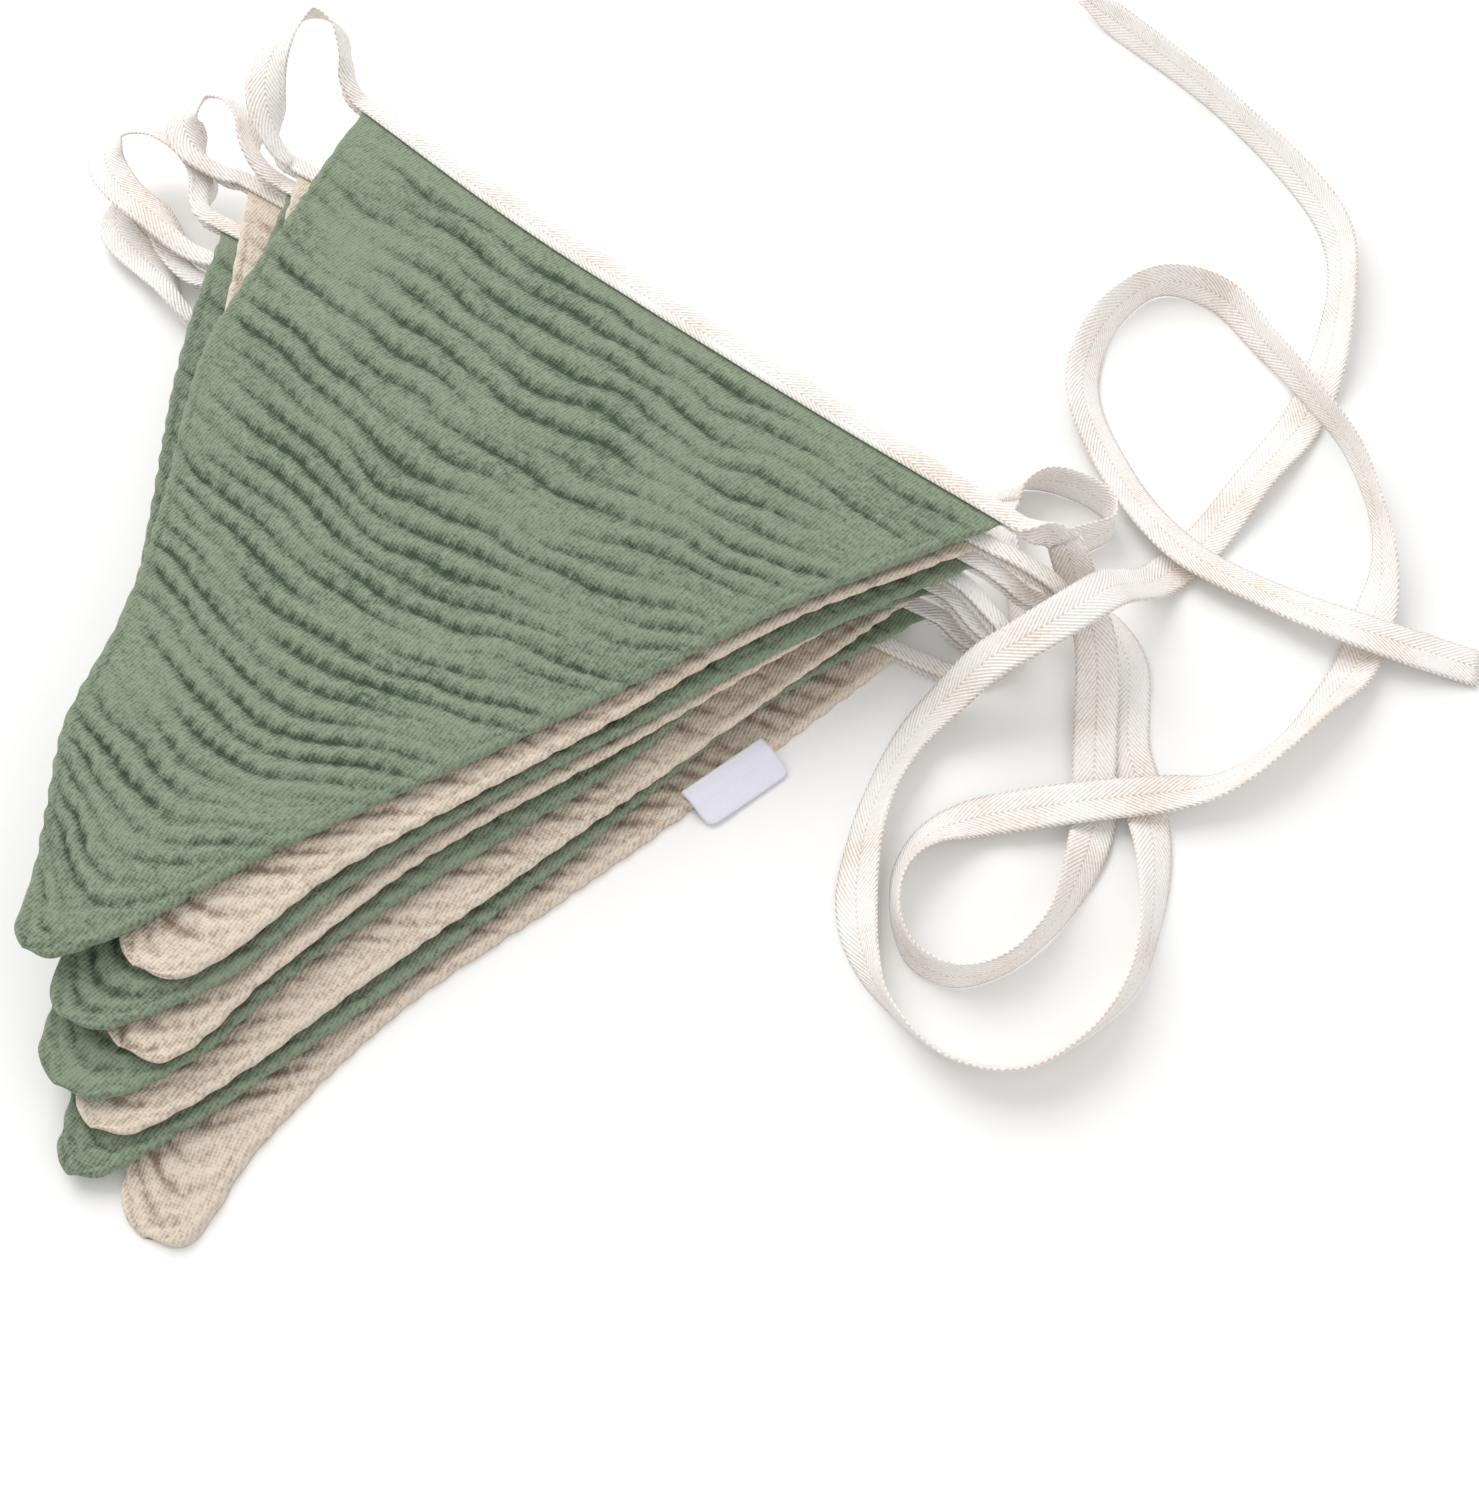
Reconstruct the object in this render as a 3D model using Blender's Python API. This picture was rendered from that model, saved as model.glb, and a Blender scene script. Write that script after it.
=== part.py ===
"""Fabric bunting, folded accordion-wise into a stack and laid down.

Eight double gauze pennants are sewn to one herringbone tape, which is folded lengthwise over each top edge.
Between the pennants the tape runs on as loops, four at the left and three at the right, and its two ends lie
beside the stack as long ties. A bare label sits in the bottom pennant's right seam.

All tables are in millimetres on the layout plan: X to the right, Y away from the front, Z up from the floor.
"""

import math
from collections import namedtuple

import bmesh
import bpy
import numpy as np

MM = 0.001
GAP = 0.3
CENTRE_X = -46.8
CENTRE_Y = 267.8

# Stack heights: layer 0 is the bottom pennant, layer 7 the top one
TOP_LAYER = 7
CLOTH_PITCH = 3.05
CLOTH_FLOOR = 1.1
HEADER_PITCH = 3.9
HEADER_FLOOR = 1.55
GATHER_START = -60.0
GATHER_END = -8.0

# Lift of the top pennant's left corner, which its loop pulls up
CORNER_LIFT = 3.0
LIFT_ALONG = 70.0
LIFT_FLAT = 8.0
LIFT_ACROSS = 60.0

# Cloth: half thickness in the field, at the puffy seam and inside the header fold
HALF_CLOTH = 0.75
HALF_RIM = 1.1
HALF_SQUEEZED = 0.45
RIM_INSET = 1.5
INSET_SHARE = 0.3
PUFF_WIDTH = 7.0
SQUEEZE_FROM = 6.4
SQUEEZE_TO = 11.0
HEADER_INSET = 0.2

# Crinkles run across the pennant, one ridge for every two rows
ROW_PITCH = 3.75
RIDGE_TOP = 0.6
RIDGE_LOWER = 0.25
RIDGE_SCALLOP = 0.35
RIDGE_MEAN = 0.7
RIDGE_SWAY = 0.3
RIDGE_TURN_ROW = 1.7
RIDGE_TURN_COLUMN = 9.0
RIDGE_TURN_LAYER = 2.0
RIDGE_AT_RIM = 0.4
RIDGE_DEEPEST = 0.5
RIDGE_BEND = 6.0
BEND_FROM = 0.4
TIP_ROWS = (0.3, 1.1, 2.2)

# A wedge with this half angle has its sharp apex this many tip radii beyond the rounded tip
HALF_APEX = math.radians(25.65)
APEX_REACH = 1.0 / math.sin(HALF_APEX) - 1.0
TANGENT_DEPTH = 1.0 - math.sin(HALF_APEX)

# Tape: 10 mm wide, folded round a small radius over the cloth
TAPE_WIDTH = 10.0
HALF_TAPE = 0.4
FOLD_RADIUS = 1.15
FOLD_ARC = math.pi * FOLD_RADIUS
WING = (TAPE_WIDTH - FOLD_ARC) / 2.0
STRAIGHT_END = 1.5
LEAST_FOLD = 0.01
HELD_LENGTH = 0.9
HEADER_STATIONS = (0.0, 0.03, 0.12, 0.3, 0.5, 0.7, 0.88, 0.97, 1.0)
HEADER_STEP = 26.0
LOOP_STEP = 3.8
TIE_STEP = 7.0
TIE_REST = 0.25

# Front wing of the top header, wider in its middle: fraction from the left corner, millimetres
TOP_LIP = ((0.0, 0.0), (0.15, 1.6), (0.45, 2.6), (0.8, 1.7), (1.0, 0.4))

SAGE = (0.200, 0.250, 0.170, 1.0)
BEIGE = (0.590, 0.500, 0.405, 1.0)
TAPE_CREAM = (0.840, 0.770, 0.700, 1.0)
LABEL_WHITE = (0.820, 0.820, 0.880, 1.0)
ROUGHNESS = 0.9
SMOOTH_ANGLE = 50.0

# Corners of each pennant on the plan, tip radius, and how far its edges bow outwards:
# fraction from tip to header, millimetres
Pennant = namedtuple("Pennant", "left right tip tip_round right_bow left_bow")
PENNANTS = (
    Pennant((-93.9, 398.3), (62.6, 272.6), (-146.5, 171.9), 5.0,
            ((0.03, 2.5), (0.25, 0.8), (0.45, -0.8), (0.63, -2.5), (0.86, -1.5)),
            ((0.08, 1.0), (0.15, 4.7), (0.23, 9.0), (0.35, 7.5), (0.48, 9.9),
             (0.57, 12.8), (0.65, 14.1), (0.74, 11.8), (0.86, 6.4))),
    Pennant((-110.9, 384.3), (56.9, 268.8), (-125.4, 170.2), 7.0,
            ((0.05, 4.7), (0.25, -0.5), (0.5, -3.5), (0.72, -5.2)),
            ((0.2, -2.0), (0.6, 1.0), (0.85, 1.0))),
    Pennant((-113.8, 381.3), (55.6, 266.3), (-139.1, 159.5), 7.0,
            ((0.08, 5.5), (0.16, 7.0), (0.3, 0.5), (0.65, -3.8)),
            ((0.2, -3.0), (0.5, 0.0), (0.85, 2.0))),
    Pennant((-125.4, 386.8), (46.9, 267.3), (-128.1, 155.3), 7.0,
            ((0.05, 6.0), (0.2, 1.6), (0.34, -3.0), (0.6, -3.0)),
            ((0.2, -2.0), (0.6, 0.0))),
    Pennant((-131.6, 376.1), (47.1, 264.4), (-141.1, 148.4), 7.0,
            ((0.06, 7.0), (0.14, 9.6), (0.27, 3.4), (0.63, -1.8), (0.82, -7.2)),
            ((0.2, -3.0), (0.5, 1.0), (0.85, 3.0))),
    Pennant((-131.0, 366.2), (45.5, 268.1), (-132.3, 138.9), 7.0,
            ((0.07, 4.0), (0.33, 4.0), (0.6, 2.0)),
            ((0.2, -2.0), (0.6, 0.0))),
    Pennant((-134.0, 363.1), (45.9, 262.9), (-136.0, 129.4), 7.0,
            ((0.1, 2.3), (0.35, 2.3), (0.58, -0.5), (0.78, -4.6)),
            ((0.2, -3.0), (0.5, 1.0), (0.85, 3.0))),
    Pennant((-130.6, 348.9), (38.4, 254.9), (-121.8, 119.5), 7.0,
            ((0.04, 5.5), (0.17, -1.0), (0.34, -5.7), (0.54, -3.2), (0.84, -0.4)),
            ((0.3, -1.0), (0.7, 1.0))),
)

# Where the face columns lie between the two rims, as fractions of the width
TOP_COLUMNS = (0.0, 0.04, 0.12, 0.22, 0.33, 0.45, 0.57, 0.69, 0.8, 0.89, 0.96, 1.0)
TOP_BACK_COLUMNS = (1.0, 0.69, 0.45, 0.33, 0.22, 0.12, 0.04, 0.0)
INNER_COLUMNS = (0.0, 0.5, 0.9, 1.0)
BOTTOM_COLUMNS = (0.0, 0.3, 0.6, 0.8, 0.93, 1.0)
BACK_COLUMNS = (1.0, 0.0)

# Loops between one header's end and the next one's start, in the direction of travel. lean is the angle to the
# floor in degrees, with the right-hand edge up where it is positive; fold is 1 where the tape is folded shut
Station = namedtuple("Station", "x y z lean fold")
LEFT_LOOPS = (
    (Station(-96.8, 403.0, 34.0, -85, 0.8), Station(-98.5, 408.5, 38.5, -72, 0.2),
     Station(-101.5, 414.5, 43.0, -62, 0.0), Station(-107.0, 417.3, 44.5, -55, 0.0),
     Station(-113.0, 412.0, 43.5, -38, 0.0), Station(-117.7, 403.7, 40.5, -8, 0.0),
     Station(-118.6, 395.6, 36.0, 14, 0.0), Station(-117.0, 390.4, 31.0, 42, 0.25),
     Station(-113.8, 387.0, 26.6, 72, 0.75)),
    (Station(-118.9, 385.6, 23.0, -80, 0.9), Station(-123.0, 390.8, 25.5, -62, 0.3),
     Station(-125.2, 397.0, 27.2, -55, 0.0), Station(-129.8, 403.2, 28.3, -50, 0.0),
     Station(-136.2, 405.2, 27.8, -42, 0.0), Station(-142.0, 400.0, 25.2, -20, 0.0),
     Station(-139.6, 393.8, 21.6, 18, 0.15), Station(-132.6, 390.6, 18.2, 62, 0.75)),
    (Station(-135.6, 380.0, 14.4, -75, 0.85), Station(-137.0, 388.5, 16.0, -50, 0.2),
     Station(-143.5, 397.5, 17.4, -42, 0.0), Station(-153.0, 403.6, 17.6, -40, 0.0),
     Station(-161.6, 403.2, 16.8, -34, 0.0), Station(-164.4, 396.8, 15.2, -14, 0.0),
     Station(-160.0, 388.4, 13.8, 6, 0.0), Station(-150.6, 380.0, 12.4, 18, 0.1),
     Station(-139.4, 371.4, 10.4, 55, 0.8)),
    (Station(-138.8, 366.6, 6.2, -60, 0.85), Station(-145.4, 373.6, 7.0, -30, 0.3),
     Station(-149.6, 381.6, 7.6, -34, 0.0), Station(-154.0, 389.6, 8.2, -50, 0.0),
     Station(-161.0, 390.2, 7.6, -46, 0.0), Station(-161.6, 381.6, 5.6, -18, 0.0),
     Station(-152.2, 370.6, 4.4, 8, 0.0), Station(-144.6, 361.4, 5.5, 50, 0.35),
     Station(-139.0, 355.4, 3.5, 84, 0.8)),
)

# The right-hand loops are hairpins of half folded tape, whose fold keeps facing away from the pennants
Bend = namedtuple("Bend", "x y z fold")
RIGHT_LOOPS = (
    (Bend(63.5, 266.3, 24.5, 0.95), Bend(68.5, 264.0, 22.6, 0.94), Bend(72.2, 262.2, 20.5, 0.95),
     Bend(74.4, 261.0, 17.2, 0.95), Bend(72.2, 261.8, 13.7, 0.95), Bend(67.0, 262.8, 14.5, 0.95),
     Bend(61.5, 264.2, 19.2, 0.98)),
    (Bend(53.0, 263.6, 17.0, 0.95), Bend(57.0, 258.6, 16.4, 0.92), Bend(60.4, 254.2, 15.0, 0.92),
     Bend(61.8, 252.5, 12.8, 0.92), Bend(59.6, 253.6, 10.7, 0.92), Bend(55.4, 257.2, 11.0, 0.95),
     Bend(51.6, 261.8, 12.6, 0.98)),
    (Bend(50.8, 265.6, 8.7, 1.0), Bend(54.2, 261.8, 6.7, 1.0), Bend(57.0, 258.4, 6.7, 1.0),
     Bend(58.9, 256.6, 4.4, 1.0), Bend(56.8, 257.7, 2.0, 1.0), Bend(53.2, 259.6, 2.0, 1.0),
     Bend(50.2, 261.6, 3.7, 1.0)),
)

# Beyond the outermost corners the folded tape opens out, as far as the joins with the ties
TOP_LEAD = (Station(73.0, 267.6, 27.65, -100, 0.0),
            Station(69.8, 270.4, 28.7, -94, 0.3),
            Station(66.2, 271.9, 28.9, -90, 0.8))
BOTTOM_LEAD = (Station(44.0, 253.2, 1.6, 90, 1.0), Station(49.5, 250.6, 1.6, 90, 1.0),
               Station(55.5, 250.4, 1.6, 90, 1.0), Station(60.6, 254.0, 1.6, 90, 1.0),
               Station(63.0, 260.5, 1.6, 90, 1.0), Station(63.3, 268.5, 2.0, 90, 1.0),
               Station(62.3, 276.0, 3.3, 88, 0.85), Station(61.4, 283.5, 5.5, 68, 0.45),
               Station(61.6, 290.0, 5.3, 50, 0.12), Station(63.8, 295.5, 3.85, 40, 0.0))

# Directions in which the ties leave the joins
TOP_JOIN_WAY = (0.62, -0.54, -0.57)
BOTTOM_JOIN_WAY = (0.58, 0.81, 0.0)

# Routes of the ties, chosen by hand. lift is the clear height under the tape's lower edge, lean its angle to the
# floor in degrees, with the right-hand edge up where it is positive
Lay = namedtuple("Lay", "x y lift lean")
TIE_TOP_ROUTE = (
    Lay(73.0, 267.6, 22.4, -80), Lay(76.8, 264.2, 12.8, -66), Lay(79.4, 260.4, 6.8, -50),
    Lay(81.4, 255.0, 4.6, -34), Lay(82.0, 247.0, 2.2, -18), Lay(81.0, 236.0, 1.4, -4),
    Lay(79.6, 223.0, 1.3, 0), Lay(78.8, 212.0, 0.1, 0), Lay(75.5, 201.0, 0.1, 30),
    Lay(67.0, 184.5, 0.1, 72), Lay(56.0, 174.5, 0.1, 85), Lay(45.5, 172.0, 0.1, 83),
    Lay(37.0, 176.5, 0.1, 85), Lay(33.5, 185.5, 0.1, 85), Lay(35.0, 197.0, 0.1, 70),
    Lay(41.5, 205.5, 0.1, 42), Lay(51.5, 210.5, 1.2, 8), Lay(62.0, 212.0, 3.2, 0),
    Lay(73.0, 213.5, 3.8, 0), Lay(86.0, 215.0, 3.8, 2), Lay(97.0, 216.5, 2.2, 14),
    Lay(108.0, 219.0, 0.3, 40), Lay(120.0, 226.5, 0.1, 58), Lay(131.0, 237.0, 0.1, 52),
    Lay(141.0, 248.5, 0.1, 22), Lay(147.8, 262.0, 0.1, 18), Lay(151.5, 275.0, 0.1, 62),
    Lay(152.5, 291.0, 0.1, 88), Lay(149.0, 311.0, 0.6, 90), Lay(140.5, 327.0, 2.0, 88),
    Lay(132.0, 343.5, 0.6, 78), Lay(122.0, 359.5, 0.1, 72), Lay(108.0, 364.0, 0.1, 78),
    Lay(93.5, 353.0, 0.1, 52), Lay(85.5, 332.0, 0.1, 29), Lay(92.0, 305.0, 0.1, 20),
    Lay(105.0, 282.0, 2.0, 16), Lay(123.0, 269.5, 2.0, 16), Lay(143.0, 257.5, 5.6, 4),
    Lay(170.5, 250.5, 0.2, 0),
)
TIE_BOTTOM_ROUTE = (
    Lay(63.8, 295.5, 0.1, 40), Lay(67.5, 299.4, 0.1, 62), Lay(74.0, 301.2, 0.1, 88),
    Lay(81.5, 299.0, 0.1, 98), Lay(88.4, 293.4, 0.1, 96), Lay(88.8, 287.2, 0.1, 88),
    Lay(83.0, 284.2, 0.1, 80), Lay(76.6, 281.0, 0.1, 72), Lay(75.0, 274.5, 0.1, 62),
    Lay(80.0, 267.5, 0.1, 45), Lay(86.6, 260.0, 0.1, 28), Lay(89.8, 251.0, 0.1, 12),
    Lay(89.0, 241.0, 0.1, 2), Lay(88.0, 230.0, 0.1, 0), Lay(90.0, 217.0, 0.1, 0),
    Lay(90.6, 203.0, 0.1, 28), Lay(88.5, 186.5, 0.1, 55), Lay(83.5, 171.5, 0.1, 72),
    Lay(73.0, 159.5, 0.1, 96), Lay(58.0, 151.5, 0.1, 112), Lay(42.5, 154.5, 0.1, 112),
    Lay(31.5, 165.5, 0.1, 95), Lay(27.0, 176.0, 0.1, 60), Lay(25.3, 190.0, 0.1, 28),
    Lay(27.5, 205.0, 0.1, 42), Lay(32.0, 218.5, 0.1, 46), Lay(40.5, 233.0, 0.6, 28),
    Lay(48.0, 239.0, 7.5, 10), Lay(55.0, 243.0, 15.5, 0), Lay(64.0, 246.5, 20.2, -5),
    Lay(74.0, 252.0, 22.0, -12), Lay(82.5, 258.0, 21.2, -12), Lay(91.0, 266.5, 10.5, -8),
    Lay(99.0, 274.0, 1.8, -2), Lay(112.0, 286.5, 0.1, 4), Lay(125.5, 304.0, 0.1, 18),
    Lay(140.5, 323.5, 0.1, 2), Lay(151.5, 352.0, 0.1, 48), Lay(155.0, 382.0, 0.1, 62),
    Lay(133.0, 424.0, 0.1, 86), Lay(96.0, 468.5, 0.1, 75),
)

# Label: seam line from left to right, then each row's reach out of the seam and its mid height
LABEL_SEAM = ((-13.0, 216.8), (5.0, 230.8))
LABEL_HALF = 0.45
LABEL_ROWS = ((0.0, 3.1), (3.6, 3.05), (6.2, 1.9), (10.0, 0.75))
LABEL_SLANT = (0.65, -0.76)


def smoothstep(value, low, high):
    """Ease from 0 at low to 1 at high."""
    t = np.clip((value - low) / (high - low), 0.0, 1.0)
    return t * t * (3.0 - 2.0 * t)


def mix(first, second, share):
    return first + (second - first) * share


def smooth_through(knots, values, at):
    """Cubic Hermite curve through the values; each slope is the weighted mean of the two chords beside it."""
    span = np.diff(knots)[:, None]
    chord = np.diff(values, axis=0) / span
    slope = np.empty_like(values)
    slope[0] = chord[0]
    slope[-1] = chord[-1]
    slope[1:-1] = (chord[:-1] * span[1:] + chord[1:] * span[:-1]) / (span[:-1] + span[1:])
    index = np.clip(np.searchsorted(knots, at, side="right") - 1, 0, len(span) - 1)
    width = span[index]
    t = ((at - knots[index]) / width[:, 0])[:, None]
    rise = t * t * (3.0 - 2.0 * t)
    start = mix(values[index], values[index + 1], rise)
    return start + width * t * (1.0 - t) * ((1.0 - t) * slope[index] - t * slope[index + 1])


def read_table(table, at):
    """Smooth reading of a two-column table that starts at 0 and ends at 1."""
    rows = np.array(table, float)
    return smooth_through(rows[:, 0], rows[:, 1:], at)[:, 0]


def layer_height(x, y, layer):
    """Middle height of a layer: an even pitch in the field and a wider one where the headers lie."""
    left = np.array(PENNANTS[-1].left)
    along = np.array(PENNANTS[-1].right) - left
    along /= np.linalg.norm(along)
    outward = (x - left[0]) * -along[1] + (y - left[1]) * along[0]
    gather = smoothstep(outward, GATHER_START, GATHER_END)
    height = mix(CLOTH_FLOOR + CLOTH_PITCH * layer, HEADER_FLOOR + HEADER_PITCH * layer, gather)
    if layer == TOP_LAYER:
        height = height + corner_lift(x, y)
    return height


def corner_lift(x, y):
    """Extra height of the top pennant towards its left corner."""
    left = np.array(PENNANTS[0].left)
    along = np.array(PENNANTS[0].right) - left
    along /= np.linalg.norm(along)
    run = (x - left[0]) * along[0] + (y - left[1]) * along[1]
    inward = (x - left[0]) * along[1] - (y - left[1]) * along[0]
    near = 1.0 - smoothstep(run, 0.0, LIFT_ALONG)
    return CORNER_LIFT * near * (1.0 - smoothstep(inward, LIFT_FLAT, LIFT_FLAT + LIFT_ACROSS))


def edge_points(pennant, corner, other, bow, fraction):
    """Points on one side edge: a straight line from apex to corner, bowed outwards by its table."""
    corner = np.array(corner)
    apex = sharp_apex(pennant)
    line = corner - apex
    outward = np.array((line[1], -line[0])) / np.linalg.norm(line)
    if np.dot(outward, np.array(other) - apex) > 0.0:
        outward = -outward
    table = ((0.0, 0.0),) + bow + ((1.0, 0.0),)
    offset = read_table(table, fraction)
    return apex + fraction[:, None] * line + offset[:, None] * outward


def pennant_axis(pennant):
    """Unit direction from tip to header, and the length between them."""
    middle = (np.array(pennant.left) + np.array(pennant.right)) / 2.0
    axis = middle - np.array(pennant.tip)
    length = np.linalg.norm(axis)
    return axis / length, length


def sharp_apex(pennant):
    axis, _ = pennant_axis(pennant)
    return np.array(pennant.tip) - APEX_REACH * pennant.tip_round * axis


def tip_shrink(pennant, depth):
    """Share of the wedge's width that the rounded tip keeps at this depth from its end."""
    radius = pennant.tip_round
    wedge = (depth + APEX_REACH * radius) * math.tan(HALF_APEX)
    arc = np.sqrt(np.maximum(radius ** 2 - (radius - np.minimum(depth, radius)) ** 2, 0.0))
    return np.where(depth < TANGENT_DEPTH * radius, np.minimum(arc / wedge, 1.0), 1.0)


def row_depths(length):
    """Distances of the rows from the tip, from the header down."""
    count = round(length / ROW_PITCH)
    even = np.linspace(length - HEADER_INSET, 0.0, count + 1)[:-1]
    return np.concatenate((even[even > TIP_ROWS[-1] + 1.0], TIP_ROWS[::-1]))


def across_row(pennant, depth, place):
    """Plan points at one place across every row; to the right the rows bend up towards the header."""
    _, length = pennant_axis(pennant)
    reach = APEX_REACH * pennant.tip_round
    fraction = (depth + reach) / (length + reach)
    bend = RIDGE_BEND / length * 4.0 * fraction * (1.0 - fraction) * smoothstep(place, BEND_FROM, 1.0)
    fraction = fraction + bend
    left = edge_points(pennant, pennant.left, pennant.right, pennant.left_bow, fraction)
    right = edge_points(pennant, pennant.right, pennant.left, pennant.right_bow, fraction)
    shrink = tip_shrink(pennant, depth)[:, None]
    middle = (left + right) / 2.0
    left = mix(middle, left, shrink)
    right = mix(middle, right, shrink)
    return mix(left, right, place[:, None]), np.linalg.norm(right - left, axis=1)


def pennant_column(pennant, layer, depth, column, side):
    """One column of a pennant's skin down all rows. side is 1 on the face, -1 on the back and 0 at a rim."""
    _, length = pennant_axis(pennant)
    rows = len(depth)
    parity = np.where(np.arange(rows) % 2 == 1, 1.0, -1.0)
    _, width = across_row(pennant, depth, np.full(rows, 0.5))
    inset = 0.0 if side == 0 else np.minimum(RIM_INSET / width, INSET_SHARE)
    place = inset + (1.0 - 2.0 * inset) * np.full(rows, column)
    plan, _ = across_row(pennant, depth, place)
    squeeze = 1.0 - smoothstep(length - depth, SQUEEZE_FROM, SQUEEZE_TO)
    edge = np.minimum(place, 1.0 - place) * width
    field = smoothstep(edge, RIM_INSET, PUFF_WIDTH)
    tip_taper = np.sqrt(np.clip(depth / RIM_INSET, 0.0, 1.0))
    half = mix(mix(HALF_RIM, HALF_CLOTH, field) * tip_taper, HALF_SQUEEZED, squeeze)
    turn = RIDGE_TURN_ROW * np.arange(rows) + RIDGE_TURN_COLUMN * column + RIDGE_TURN_LAYER * layer
    wander = RIDGE_MEAN + RIDGE_SWAY * np.sin(turn)
    amount = RIDGE_TOP if layer == TOP_LAYER else RIDGE_LOWER
    ridge = amount * parity * wander * mix(RIDGE_AT_RIM, 1.0, field) * (1.0 - squeeze) * tip_taper
    middle = layer_height(plan[:, 0], plan[:, 1], layer)
    if layer == 0:
        middle = mix(half, HEADER_FLOOR, squeeze)
    height = middle + side * half
    if side > 0:
        height = height + np.maximum(ridge, -RIDGE_DEEPEST * half)
    if side == 0:
        _, rim_axis = rim_directions(pennant)
        sign = 1.0 if column > 0.5 else -1.0
        scallop = RIDGE_SCALLOP * parity * wander * (1.0 - squeeze) * tip_taper
        plan = plan + sign * scallop[:, None] * rim_axis
    return np.column_stack((plan, height))


def rim_directions(pennant):
    """Unit directions along the axis and across it, to the right."""
    axis, _ = pennant_axis(pennant)
    return axis, np.array((axis[1], -axis[0]))


def pennant_rings(pennant, layer, face, back):
    """Closed ring of skin points for every row: left rim, face, right rim, back."""
    _, length = pennant_axis(pennant)
    depth = row_depths(length)
    columns = [pennant_column(pennant, layer, depth, 0.0, 0)]
    columns += [pennant_column(pennant, layer, depth, place, 1) for place in face]
    columns.append(pennant_column(pennant, layer, depth, 1.0, 0))
    columns += [pennant_column(pennant, layer, depth, place, -1) for place in back]
    return np.stack(columns, axis=1)


def header_outward(index):
    """Unit direction on the plan from a pennant out over its header."""
    pennant = PENNANTS[index]
    along = np.array(pennant.right) - np.array(pennant.left)
    return np.array((-along[1], along[0])) / np.linalg.norm(along)


def station_row(station):
    """Position, lean, fold and lip of one loop station, which no header holds."""
    return (*station, 0.0, 0.0, 0.0)


def bend_row(bend, index):
    """The same for a hairpin station, whose fold faces outwards as on the header before it."""
    return (bend.x, bend.y, bend.z, 0.0, bend.fold, 0.0, *header_outward(index))


def header_rows(index):
    """Stations along one header in the direction of travel: position, lean, fold, lip and outward way."""
    pennant = PENNANTS[index]
    layer = TOP_LAYER - index
    leftward = index % 2 == 0
    left, right = np.array(pennant.left), np.array(pennant.right)
    along = (right - left) / np.linalg.norm(right - left)
    outward = header_outward(index)
    shares = TOP_COLUMNS if index == 0 else HEADER_STATIONS
    stations = [left + share * (right - left) for share in shares]
    stations = [left - STRAIGHT_END * along] + stations + [right + STRAIGHT_END * along]
    lips = np.zeros(len(stations))
    if index == 0:
        lips = read_table(TOP_LIP, np.array((0.0, *shares, 1.0)))
    rows = []
    for point, lip in zip(stations, lips):
        x, y = point + FOLD_RADIUS * outward
        height = float(layer_height(point[0], point[1], layer))
        rows.append((x, y, height, -90.0 if leftward else 90.0, 1.0, lip, *outward))
    return rows[::-1] if leftward else rows


def header_tape_stations():
    """All stations of the sewn tape from the top join on, and which of them belong to headers."""
    rows = [station_row(station) for station in TOP_LEAD]
    on_header = [False] * len(rows)
    for index in range(len(PENNANTS)):
        header = header_rows(index)
        rows += header
        on_header += [True] * len(header)
        if index == len(PENNANTS) - 1:
            link = [station_row(station) for station in BOTTOM_LEAD]
        elif index % 2 == 0:
            link = [station_row(station) for station in LEFT_LOOPS[index // 2]]
        else:
            link = [bend_row(bend, index) for bend in RIGHT_LOOPS[index // 2]]
        rows += link
        on_header += [False] * len(link)
    return np.array(rows), on_header


def sample_route(rows, steps):
    """Smooth route through the stations, each stretch cut into the given number of steps."""
    gaps = np.linalg.norm(np.diff(rows[:, :3], axis=0), axis=1)
    knots = np.concatenate(((0.0,), np.cumsum(np.sqrt(gaps))))
    at = [np.linspace(knots[i], knots[i + 1], count, endpoint=False) for i, count in enumerate(steps)]
    return smooth_through(knots, rows, np.concatenate(at + [knots[-1:]]))


def unit_rows(vectors):
    return vectors / np.linalg.norm(vectors, axis=1, keepdims=True)


def travel_directions(points):
    return unit_rows(np.gradient(points, axis=0))


def tape_frame(points, lean, start_way, end_way):
    """Unit directions across the tape and out of its face. lean turns it about its travel from flat, right edge up.
    A way given for an end squares it to its join.
    """
    travel = travel_directions(points)
    if start_way is not None:
        travel[0] = unit_rows(np.array([start_way]))[0]
    if end_way is not None:
        travel[-1] = unit_rows(np.array([end_way]))[0]
    side = unit_rows(np.cross(travel, (0.0, 0.0, 1.0)))
    rise = np.cross(side, travel)
    lean = np.radians(lean)[:, None]
    across = np.cos(lean) * side + np.sin(lean) * rise
    return across, np.cross(across, travel)


def face_outwards(points, frame, outward):
    """The frame, turned so that its face looks outwards wherever an outward way is given."""
    travel = travel_directions(points)
    flat = np.column_stack((outward, np.zeros(len(points))))
    normal = flat - np.sum(flat * travel, axis=1, keepdims=True) * travel
    held = np.linalg.norm(outward, axis=1, keepdims=True) > HELD_LENGTH
    normal = unit_rows(np.where(held, normal, frame[1]))
    return np.where(held, np.cross(travel, normal), frame[0]), normal


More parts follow.
